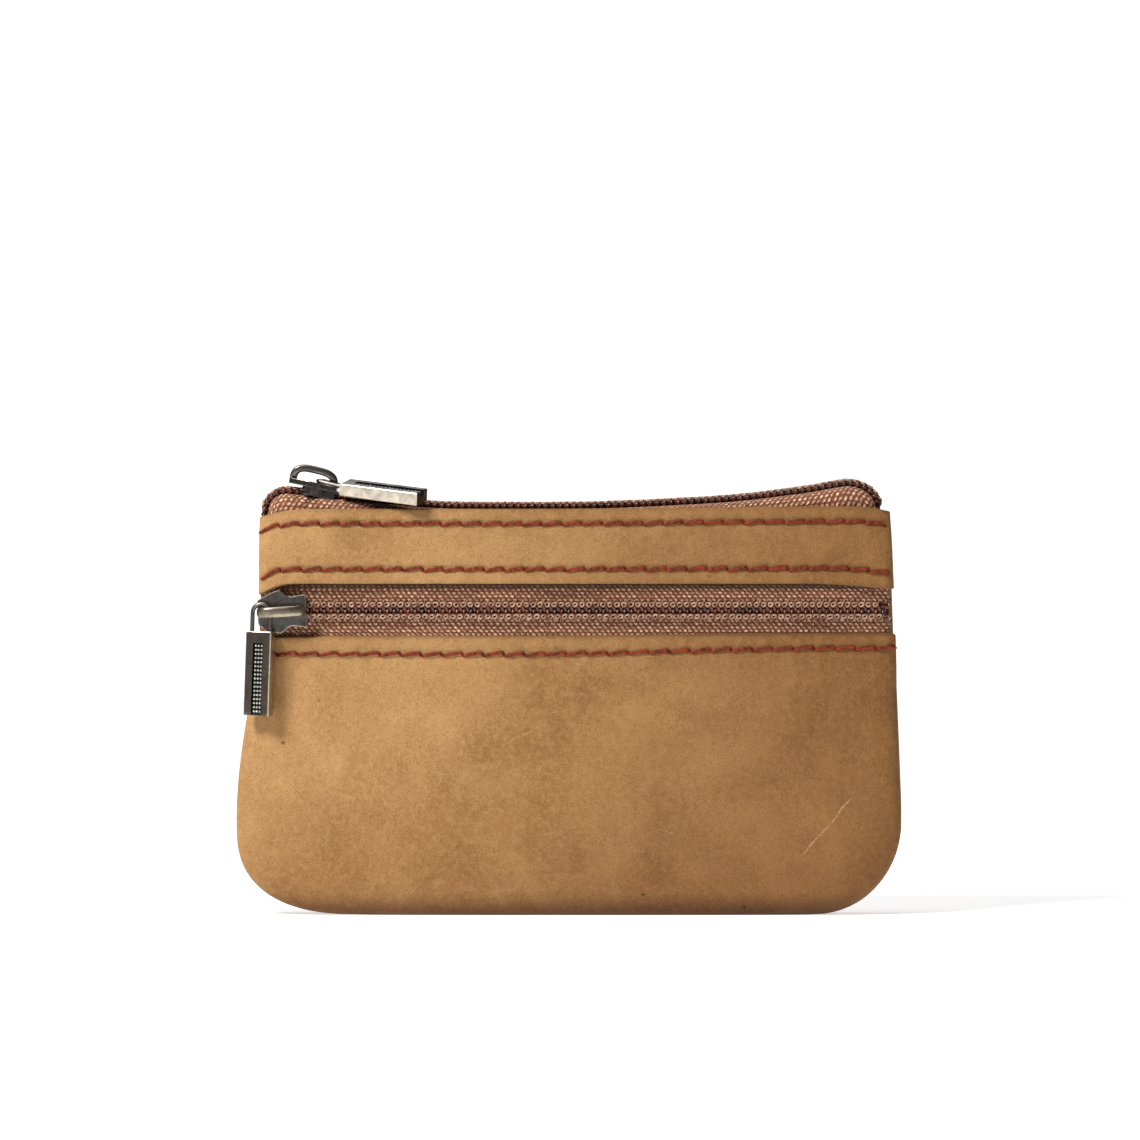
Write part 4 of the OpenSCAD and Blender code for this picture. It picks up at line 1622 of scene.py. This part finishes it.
@dataclass
class SliderShape:
    """Slider, ring and tab in their own place: +X along the chain, +Z away from the pouch."""

    plate_l: float = 9.1
    shoulder: float = 3.92
    rear: float = 2.68
    plate_t: float = 1.0
    plate_low: float = 1.05
    back_high: float = -1.65
    wire_r: float = 0.4
    ring_half: float = 1.6
    ring_drop: float = 4.24
    tab_w: float = 4.9
    tab_t: float = 2.4
    tab_l: float = 15.3
    tab_eye: float = 0.9
    groove_w: float = 1.9
    groove_depth: float = 0.62

    @property
    def wire_up(self) -> float:
        """Height of the ring's wire under the bridge."""
        return self.plate_low + self.plate_t + 0.35 + self.wire_r

    def plate_half(self, x: Array, shrink: float) -> Array:
        """Half width of the plate: swelling from the nose to the shoulders, then waisted.

        Args:
            x: X positions.
            shrink: How much narrower it is.

        Returns:
            The half widths.
        """
        t = np.clip((-0.75 - x) / 3.8, 0, 1)
        nose = self.shoulder - 1.65 * t ** 1.25
        back = self.rear + (self.shoulder - self.rear) * (1 - ease(x, -0.75, 1.7)) ** 1.25
        back = back + 0.28 * ease(x, 1.6, 4.3)
        return np.where(x < -0.75, nose, back) - shrink

    def plate(self, low: float, high: float, shrink: float = 0.0) -> Surface:
        """A plate with rounded nose corners.

        Args:
            low: Lower face.
            high: Upper face.
            shrink: How much narrower it is.

        Returns:
            The plate.
        """
        x = np.concatenate([np.linspace(-self.plate_l / 2 + 0.35, -0.95, 9),
                            np.linspace(-0.75, self.plate_l / 2 - 0.25, 14)])
        half = self.plate_half(x, shrink)
        bend = np.radians([12, 35, 60, 82])
        nose_x = x[0] - 0.35 * (1 - (1 - np.sin(bend)))
        nose_half = half[0] - 0.75 * (1 - np.cos(bend))
        xs = np.concatenate([nose_x[::-1], x])
        hs = np.concatenate([nose_half[::-1], half])
        outline = np.concatenate([np.column_stack([xs, -hs]), np.column_stack([xs, hs])[::-1]])
        return prism(outline, low, high)

    def lips(self) -> list[Surface]:
        """The two side lips that hold the chain's edges.

        Returns:
            The two lips.
        """
        x = np.linspace(-1.4, 4.1, 12)
        outer = self.plate_half(x, 0.05)
        inner = np.full(x.shape, 2.14)
        out = []
        for sign in (-1, 1):
            ring = np.concatenate([np.column_stack([x, sign * inner]),
                                   np.column_stack([x, sign * outer])[::-1]])
            if sign < 0:
                ring = ring[::-1]
            area = np.sum(ring[:, 0] * np.roll(ring[:, 1], -1) - np.roll(ring[:, 0], -1) * ring[:, 1])
            out.append(prism(ring if area > 0 else ring[::-1], -0.45, self.plate_low + 0.4))
        return out

    def back_plate(self) -> Surface:
        """The shorter plate behind the tapes.

        Returns:
            The plate.
        """
        x = np.concatenate([[-2.0, -1.75], np.linspace(-1.3, self.plate_l / 2 - 0.1, 14)])
        half = np.concatenate([[2.0, 2.35], self.plate_half(x[2:], 0.6)])
        outline = np.concatenate([np.column_stack([x, -half]), np.column_stack([x, half])[::-1]])
        return prism(outline, self.back_high - self.plate_t, self.back_high)

    def neck(self) -> Surface:
        """The wedge that parts the coils, between the two plates."""
        outline = np.array([[-2.0, -0.22], [-1.4, -0.4], [-0.8, -0.12], [-0.8, 0.12], [-1.4, 0.4],
                            [-2.0, 0.22]])
        return prism(outline, self.back_high - 0.4, self.plate_low + 0.4)

    def bridge(self) -> Surface:
        """The arched bar over the plate.

        Its middle line is x = centre - reach sgn(cos a) |cos a|^0.62 and z = foot + rise sin^0.6 a,
        a squared arch that slopes a little down to the rear, and its section is a rounded
        rectangle.

        Returns:
            The bar.
        """
        a = np.linspace(0, np.pi, 44)
        c, s = np.cos(a), np.sin(a)
        centre, reach, rise = -0.22, 3.75, 2.5
        x = centre - reach * np.sign(c) * np.abs(c) ** 0.62
        foot = self.plate_low + self.plate_t - 0.25
        z = foot + rise * s ** 0.6 * (1 - 0.045 * (x + 0.2) / 4)
        path = np.column_stack([x, 0 * x, z])
        ahead = np.gradient(path, axis=0)
        ahead /= np.linalg.norm(ahead, axis=1, keepdims=True)
        normal = np.cross(np.array([0.0, 1.0, 0.0]), ahead)

        def section(angle: Array, place_: Array) -> tuple[Array, Array]:
            """A rounded rectangle with a low crown."""
            wide = 0.98 - 0.24 * np.abs(2 * place_ - 1) ** 4
            thick = 0.64 + 0 * place_
            size = (np.abs(np.cos(angle)) ** 5 + np.abs(np.sin(angle)) ** 5) ** (-1 / 5)
            crown = 0.09 * np.clip(np.sin(angle), 0, 1)
            return wide * size * np.cos(angle), thick * size * np.sin(angle) + crown

        return tube(path, section, np.array([0.0, 1.0, 0.0]), -normal, 24)

    def ring(self, bend_r: float) -> Surface:
        """The wire ring in the XZ plane, with the middle of its top bend at the origin.

        Its line is a rounded rectangle with a larger radius at the top, and the wire is round.

        Args:
            bend_r: Radius of the top bend.

        Returns:
            The ring.
        """
        half, low_r = self.ring_half, 0.5
        top = half - bend_r

        def bend(cx: float, cz: float, r: float, start: float) -> Array:
            """A quarter circle."""
            a = np.radians(np.linspace(start, start + 90, 12))
            return np.column_stack([cx + r * np.cos(a), 0 * a, cz + r * np.sin(a)])

        leg = np.linspace(0.06, 0.94, 14)[:, None]
        corners = [bend(half - bend_r, top, bend_r, 0), bend(bend_r - half, top, bend_r, 90),
                   bend(low_r - half, low_r - self.ring_drop, low_r, 180),
                   bend(half - low_r, low_r - self.ring_drop, low_r, 270)]
        parts = []
        for i, corner in enumerate(corners):
            following = corners[(i + 1) % 4]
            parts += [corner, corner[-1] + (following[0] - corner[-1]) * leg]
        path = np.concatenate(parts)
        keep = np.linalg.norm(path - np.roll(path, 1, axis=0), axis=1) > 1e-6
        path = path[keep]
        ahead = np.roll(path, -1, axis=0) - np.roll(path, 1, axis=0)
        ahead /= np.linalg.norm(ahead, axis=1, keepdims=True)
        side = np.cross(ahead, np.array([0.0, 1.0, 0.0]))
        return tube(path, oval(self.wire_r, self.wire_r), side, np.array([0.0, 1.0, 0.0]), 16,
                    closed=True)

    def tab_block(self) -> Surface:
        """The tab from its bar: a rounded block with a groove down its face.

        The face lies at y = -thickness / 2 + round(x) + groove(x, z), where round drops the edges
        by a quarter circle and groove is a flat floor with steep walls, open at the low end.

        Returns:
            The tab.
        """
        r, wall = 0.28, 0.05
        half = self.tab_w / 2
        bend = np.linspace(0, np.pi / 2, 6)
        edge = half - r + r * np.sin(bend)
        g = self.groove_w / 2
        right = np.concatenate([[0, g * 0.5, g - wall - 0.1, g - wall, g, g + 0.1],
                                np.linspace(g + 0.3, half - r - 0.05, 5), edge])
        xs = np.concatenate([-right[:0:-1], right])
        low, high = self.tab_eye - self.tab_l, self.tab_eye
        groove_top = self.tab_eye - 2.15
        zr = high - r + r * np.sin(bend)
        zl = low + r * 0.6 * (1 - np.sin(bend[::-1]))
        zs = np.concatenate([zl, np.linspace(low + 0.5, groove_top - wall - 0.1, 20),
                             [groove_top - wall, groove_top, groove_top + 0.1],
                             np.linspace(groove_top + 0.3, high - r - 0.05, 4), zr])
        x, z = np.meshgrid(xs, zs)

        def fall(v: Array, limit: float, radius: float) -> Array:
            """How far a rounded edge drops."""
            over = np.clip((np.abs(v) - (limit - radius)) / radius, 0, 1)
            return radius * (1 - np.sqrt(np.clip(1 - over ** 2, 0, 1)))

        mid = (low + high) / 2
        rim = np.maximum(fall(x, half, r), fall(z - mid, self.tab_l / 2, r * 0.8))
        deep = ramp(np.abs(x), g, g - wall) * ramp(z, groove_top, groove_top - wall)
        front = np.stack([x, -self.tab_t / 2 + rim + self.groove_depth * deep * (rim < r), z], axis=-1)
        back = np.stack([x, self.tab_t / 2 - rim, z], axis=-1)
        rows, cols = x.shape
        points = np.concatenate([front.reshape(-1, 3), back.reshape(-1, 3)])
        size = rows * cols
        quads = grid_faces(rows, cols).tolist()
        quads += [[size + i for i in q[::-1]] for q in quads]
        c, rr = np.arange(cols - 1), np.arange(rows - 1)
        last = (rows - 1) * cols
        quads += np.column_stack([c + 1, c, size + c, size + c + 1]).tolist()
        quads += np.column_stack([last + c, last + c + 1, size + last + c + 1, size + last + c]).tolist()
        left, right_ = rr * cols, rr * cols + cols - 1
        quads += np.column_stack([left, left + cols, size + left + cols, size + left]).tolist()
        quads += np.column_stack([right_ + cols, right_, size + right_, size + right_ + cols]).tolist()
        surface = Surface(points, quads)
        return facing_out(surface)

    def tab_zones(self, block: Surface) -> Array:
        """Finish of each face: 0 flats, 1 edges with painted highlight, 2 the groove, 3 the long sides
        with painted highlight.

        Args:
            block: The tab as tab_block makes it.

        Returns:
            A zone number for each face.
        """
        centres = np.array([block.points[list(f)].mean(axis=0) for f in block.faces])
        x, y, z = centres.T
        half, r = self.tab_w / 2, 0.22
        # Painted highlight goes on the rounded edges.
        highlit = (np.abs(x) > half - r) & (np.abs(np.abs(y) - self.tab_t / 2) < r)
        highlit |= (z > self.tab_eye - r) & (np.abs(np.abs(y) - self.tab_t / 2) < r)
        deep = (np.abs(x) < self.groove_w / 2) & (z < self.tab_eye - 2.15) & (y < 0) & (
            y > -self.tab_t / 2 + 0.2)
        side = np.abs(x) > half - 0.05
        return np.where(deep, 2, np.where(highlit, 1, np.where(side, 3, 0))).astype(np.int32)

    def beads(self) -> Surface:
        """Rows of small raised beads on the groove's floor, three across.

        Returns:
            All the beads.
        """
        floor = -self.tab_t / 2 + self.groove_depth
        r, pitch_x, pitch_z, rows = 0.24, 0.58, 0.745, 17
        tall = 1.45 * r
        first = self.tab_eye - 2.15 - 0.5
        lat = np.radians([0, 38, 68])
        lon = np.linspace(0, 2 * np.pi, 8, endpoint=False)
        dots = []
        for row in range(rows):
            for col in (-1, 0, 1):
                centre = np.array([col * pitch_x, floor + 0.03, first - row * pitch_z])
                ringed = np.array([[r * np.cos(p) * np.cos(q), -tall * np.sin(p),
                                    r * np.cos(p) * np.sin(q)] for p in lat for q in lon]
                                  + [[0, -tall, 0]])
                quads = grid_faces(3, 8, wrap_cols=True).tolist()
                cap = [[16 + i, 16 + (i + 1) % 8, 24] for i in range(8)]
                dot = Surface(ringed + centre, quads + cap + [list(range(8))[::-1]])
                dots.append(facing_out(dot))
        return joined(dots)


@dataclass(frozen=True)
class PullPose:
    """Where a slider, ring and tab lie at rest.

    Attributes:
        name: "front" or "top".
        slider: Rotation and place of the slider.
        pull: Rotation and place of the ring, with the middle of its top bend at the origin.
        ring_turn: Extra turn of the loose ring about its own length, in degrees.
        tab_turn: Extra turn of the loose tab about its own length, in degrees.
        tab_pitch: Extra turn of the tab about the ring's low bar, in degrees.
        bend_r: Radius of the ring's top bend.
    """

    name: str
    slider: tuple
    pull: tuple
    ring_turn: float
    tab_turn: float
    tab_pitch: float
    bend_r: float


@dataclass
class Hardware:
    """Both sliders with their wire rings and flat tabs."""

    finishes: Finishes
    zips: Zips
    front_x: float = -52.0
    front_wire_x: float = -55.8
    top_x: float = -47.0
    shape: SliderShape = field(default_factory=SliderShape)

    def poses(self) -> tuple[PullPose, PullPose]:
        """Places of the two pulls, worked out from the chains.

        Returns:
            The front one and the top one.
        """
        form, s = self.zips.form, self.shape
        upright = np.array([[1, 0, 0], [0, 0, -1], [0, 1, 0]])
        depth = self.zips.coil_depth()
        front = PullPose(
            "front", (upright @ turn("z", 3.0), (self.front_x, -depth, form.zip_z)),
            (turn("y", 2.0), (self.front_wire_x, -depth - s.wire_up, form.zip_z - 0.16)),
            -7.0, -11.0, 0.0, s.ring_half)
        centre = np.array([self.zips.arc_x, 0, self.zips.arc_low + self.zips.arc_r])
        angle = math.degrees(math.asin((self.zips.arc_x - self.top_x) / self.zips.arc_r))
        on_arc = turn("y", angle)
        tilt = turn("y", 5.5)
        base = centre + on_arc @ np.array([0, 0, -self.zips.arc_r])
        wire = base + on_arc @ tilt @ np.array([1.0, 0, s.wire_up - 0.25])
        lying = turn("z", -20.0) @ turn("y", 13.0) @ turn("z", 90) @ turn("x", -90)
        loop = wire + lying @ np.array([0, 0, -s.ring_half])
        top = PullPose("top", (on_arc @ tilt, base), (lying, loop), 0.0, -12.0, -6.0, 0.7)
        return front, top

    def build(self) -> None:
        """Make the pulls."""
        plating = self.finishes.metal("gunmetal", GUNMETAL)
        bar = self.finishes.metal("worn bar", WORN_BAR)
        wire = self.finishes.metal("wire", WIRE)
        flat = self.finishes.metal("tab metal", TAB_METAL)
        recess = self.finishes.metal("blackened recess", BLACKENED)
        # Painted highlight for the tab's long sides and the front slider's bevels.
        sides = self.finishes.metal("painted highlight", PAINTED_HIGHLIGHT)
        # Painted glints on the beads.
        beads = self.finishes.metal("bead glint", BEAD_GLINT)
        # Painted highlight for the tab's rounded edges.
        highlit = self.finishes.metal("rubbed edge", EDGE_HIGHLIGHT)
        # Painted shade: the top slider's plates take this darker copy of the gunmetal.
        shaded = self.finishes.metal("dull gunmetal", SHADED_GUNMETAL)
        bodies = {"front": ((plating, sides), bar), "top": ((shaded, plating), wire)}
        for pose in self.poses():
            self.slider(pose, *bodies[pose.name])
            self.pull(pose, wire, (flat, highlit, recess, sides), beads)

    def slider(self, pose: PullPose, finishes: Sequence[bpy.types.Material],
               arch_finish: bpy.types.Material) -> None:
        """Make one slider's body and its bridge.

        Args:
            pose: Where it lies.
            finishes: Materials of the plates and of their bevelled edges; the front slider's edges take
                a painted highlight, the top slider's plates painted shade.
            arch_finish: Material of the bridge.
        """
        s = self.shape
        high = s.plate_low + s.plate_t
        body = joined([s.plate(s.plate_low, high), s.back_plate(), s.neck(), *s.lips()])
        piece = body.moved(*pose.slider).make(f"{pose.name}_slider_body", smooth=False)
        for finish in finishes:
            piece.data.materials.append(finish)
        bevel(piece, 0.16, 3)
        # The bevels take the second finish, a painted highlight on the front slider.
        piece.modifiers[-1].material = 1
        place(piece, f"{pose.name}_slider", "slider_metal", f"{pose.name}_slider")
        arch = s.bridge().moved(*pose.slider).make(f"{pose.name}_slider_bridge")
        arch.data.materials.append(arch_finish)
        place(arch, f"{pose.name}_slider", "slider_metal")

    def pull(self, pose: PullPose, wire: bpy.types.Material,
             finishes: Sequence[bpy.types.Material], bead: bpy.types.Material) -> None:
        """Make one ring and its tab.

        Args:
            pose: Where it lies.
            wire: Material of the ring.
            finishes: Materials of the tab, by face zone.
            bead: Material of the beads, a painted glint.
        """
        s = self.shape
        turned, shift = pose.pull
        ring_turn = turn("z", pose.ring_turn)
        ring = s.ring(pose.bend_r).moved(turned @ ring_turn, shift)
        piece = ring.make(f"{pose.name}_ring_wire")
        piece.data.materials.append(wire)
        place(piece, f"{pose.name}_ring", "ring_metal", f"{pose.name}_pull_ring")
        tab_turn = (turned @ turn("z", pose.ring_turn) @ turn("x", pose.tab_pitch)
                    @ turn("z", pose.tab_turn))
        at = np.asarray(shift) + turned @ np.array([0, 0, -s.ring_drop])
        block = s.tab_block()
        tab = block.moved(tab_turn, at).make(f"{pose.name}_tab_plate")
        for finish in finishes:
            tab.data.materials.append(finish)
        tab.data.polygons.foreach_set("material_index", s.tab_zones(block))
        tab.data.set_sharp_from_angle(angle=math.radians(32))
        place(tab, f"{pose.name}_tab", "tab_metal", f"{pose.name}_pull_tab")
        beads = s.beads().moved(tab_turn, at).make(f"{pose.name}_tab_beads")
        beads.data.materials.append(bead)
        place(beads, f"{pose.name}_tab", "tab_metal")


# ------------------------------------------------------------------ linings

@dataclass
class Linings:
    """The four cloth leaves inside: two of the front pocket and two of the main compartment."""

    form: Form
    finishes: Finishes
    thickness: float = 0.22
    partition: float = 0.95

    def bag(self, z: Array, low: float, near: float, far: Array) -> Array:
        """Half depth of a leaf that rounds in to the seam at its bottom."""
        return near + (far - near) * np.sqrt(1 - (1 - ramp(z, low, low + 9)) ** 2)

    def leaf(self, side: Side, low: float, high: float, inset: float,
             depth: Callable[[Array], Array], seed: int) -> Surface:
        """One leaf with small creases, following the body's plan at its own depth.

        Args:
            side: Front or back.
            low: Bottom of the leaf.
            high: Top of the leaf.
            inset: Distance in from the sides.
            depth: Depth of the leaf for each height.
            seed: Seed of the unevenness.

        Returns:
            The leaf.
        """
        rng = np.random.default_rng(seed)
        z = np.linspace(low, high, 60)[:, None]
        phi = self.form.columns(1.2, 8)[None, :]
        u, s = self.form.round_plan(side, z, phi)
        layers = []
        a, b, c = rng.uniform(0, 6, 3)
        for extra in (0.0, self.thickness):
            x = self.form.middle(z) + (self.form.half(z) - inset - extra) * u
            crease = 0.05 * np.sin(x / 5.3 + a + 0.12 * z) + 0.04 * np.sin(z / 4.1 + b + 0.07 * x + c)
            y = side.value * (depth(z) - extra + crease * (depth(z) > 0.8)) * s
            layers.append(np.stack(np.broadcast_arrays(x, y, z), axis=-1))
        return cloth_sheet(layers[0], layers[1])

    def build(self) -> None:
        """Make the leaves, each a sheet of lining cloth."""
        cloth = self.finishes.woven("lining cloth", LINING_CLOTH)
        form, part = self.form, self.partition

        def pocket_front(z: Array) -> Array:
            """Depth of the front pocket's front leaf."""
            return self.bag(z, 8, part + 0.35, form.depth(z) - 1.42 - 0.5 * ease(z, 41, 46))

        def pocket_back(z: Array) -> Array:
            """Depth of the front pocket's back leaf."""
            return part + (form.depth(z) - 1.85 - part) * ease(z, 57.5, 63)

        def main_front(z: Array) -> Array:
            """Depth of the main pocket's front leaf."""
            return (self.bag(z, 5, 0.27, part - 0.4 + 0 * z)
                    + (form.depth(z) - 2.15 - part + 0.4) * ease(z, 59, 65))

        def main_back(z: Array) -> Array:
            """Depth of the main pocket's back leaf."""
            return self.bag(z, 5, 0.27, form.depth(z) - 1.5 - 0.5 * ease(z, 60, 66))

        leaves = (
            ("pocket_lining_front", Side.FRONT, 8.0, 50.0, 2.0, pocket_front, (0.117, 0.045),
             "front_tape_lower"),
            ("pocket_lining_back", Side.FRONT, 8.0, 64.2, 2.5, pocket_back, (0.117, 0.060),
             "front_tape_upper"),
            ("main_lining_front", Side.FRONT, 5.0, 71.6, 3.0, main_front, (0.116, 0.070),
             "top_tape_front"),
            ("main_lining_back", Side.BACK, 5.0, 71.6, 3.0, main_back, (0.122, 0.073),
             "top_tape_back"))
        for number, (node, side, low, high, inset, depth, flat, tape) in enumerate(leaves):
            piece = self.leaf(side, low, high, inset, depth, 90 + number).make(node + "_cloth")
            piece.data.materials.append(cloth)
            place(piece, "pouch", "lining", node)


# ------------------------------------------------------------------ studio

@dataclass
class Studio:
    """Pale floor and backdrop, soft lights and a level camera."""

    finishes: Finishes
    frame_width: float = 0.20727
    camera_height: float = 0.0630
    camera_x: float = 0.0002
    distance: float = 0.95

    def build(self) -> None:
        """Set up everything that isn't the pouch."""
        scene = bpy.context.scene
        scene.view_settings.view_transform = "Standard"
        self.backdrop()
        self.camera(scene)
        self.world(scene)
        self.area("key", (-0.34, -0.36, 0.50), 0.18, 4.8, (1.0, 0.985, 0.96))
        self.area("top", (-0.10, 0.05, 0.75), 0.35, 2.0, (1.0, 1.0, 1.0))

    def backdrop(self) -> None:
        """A floor that sweeps up behind the pouch in a quarter circle."""
        reach, wall, radius = 2.0, 1.6, 0.8
        bend = np.linspace(0, np.pi / 2, 24)
        y = np.concatenate([[-0.42, 0.0], reach + radius * np.sin(bend), [reach + radius]])
        z = np.concatenate([[0.0, 0.0], radius * (1 - np.cos(bend)), [radius + wall]])
        x = np.linspace(-0.55, 0.55, 5)
        points = np.stack([np.broadcast_to(x[None, :], (len(y), len(x))),
                           np.broadcast_to(y[:, None], (len(y), len(x))),
                           np.broadcast_to(z[:, None], (len(y), len(x)))], axis=-1)
        quads = grid_faces(len(y), len(x)).tolist()
        floor = Surface(points.reshape(-1, 3) / MM, quads).make("floor")
        floor.data.materials.append(self.finishes.paper("pale paper"))

    def camera(self, scene: bpy.types.Scene) -> None:
        """A long lens, level with the frame's middle and square to the front.

        Args:
            scene: The scene.
        """
        lens = bpy.data.cameras.new("camera")
        lens.sensor_width = 36.0
        lens.lens = 36.0 * self.distance / self.frame_width
        lens.clip_start, lens.clip_end = 0.05, 20.0
        eye = bpy.data.objects.new("camera", lens)
        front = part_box("front_panel")[0][1]
        eye.location = (self.camera_x, front - self.distance, self.camera_height)
        eye.rotation_euler = (math.radians(90), 0, 0)
        scene.collection.objects.link(eye)
        scene.camera = eye

    def world(self, scene: bpy.types.Scene) -> None:
        """Dim even surroundings, so that the metal keeps its dark faces.

        Args:
            scene: The scene.
        """
        world = bpy.data.worlds.new("studio")
        world.use_nodes = True
        back = world.node_tree.nodes["Background"]
        back.inputs["Color"].default_value = (0.97, 0.98, 1.0, 1)
        back.inputs["Strength"].default_value = 0.06
        scene.world = world

    def area(self, name: str, at: Vec, size: float, power: float, colour: Vec,
             aim: Vec = (0.0, 0.0, 0.045)) -> None:
        """A square soft light aimed at a place.

        Args:
            name: Its name.
            at: Its place, in metres.
            size: Its side, in metres.
            power: Its power, in watts.
            colour: Its colour.
            aim: What it points at.
        """
        lamp = bpy.data.lights.new(name, "AREA")
        lamp.size, lamp.energy, lamp.color = size, power, colour
        holder = bpy.data.objects.new(name, lamp)
        holder.location = at
        holder.rotation_euler = (Vector(aim) - Vector(at)).to_track_quat("-Z", "Y").to_euler()
        bpy.context.scene.collection.objects.link(holder)


def main() -> None:
    """Build the pouch, then the studio round it."""
    logging.basicConfig(level=logging.INFO, format="%(name)s: %(message)s")
    form = Form.from_frame()
    finishes = Finishes()
    zips = Zips(form, finishes)
    shell = LeatherShell(form, finishes)
    shell.build()
    Stitching(shell, finishes).build()
    zips.build()
    Hardware(finishes, zips).build()
    Linings(form, finishes).build()
    Studio(finishes).build()


if __name__ == "__main__":
    main()
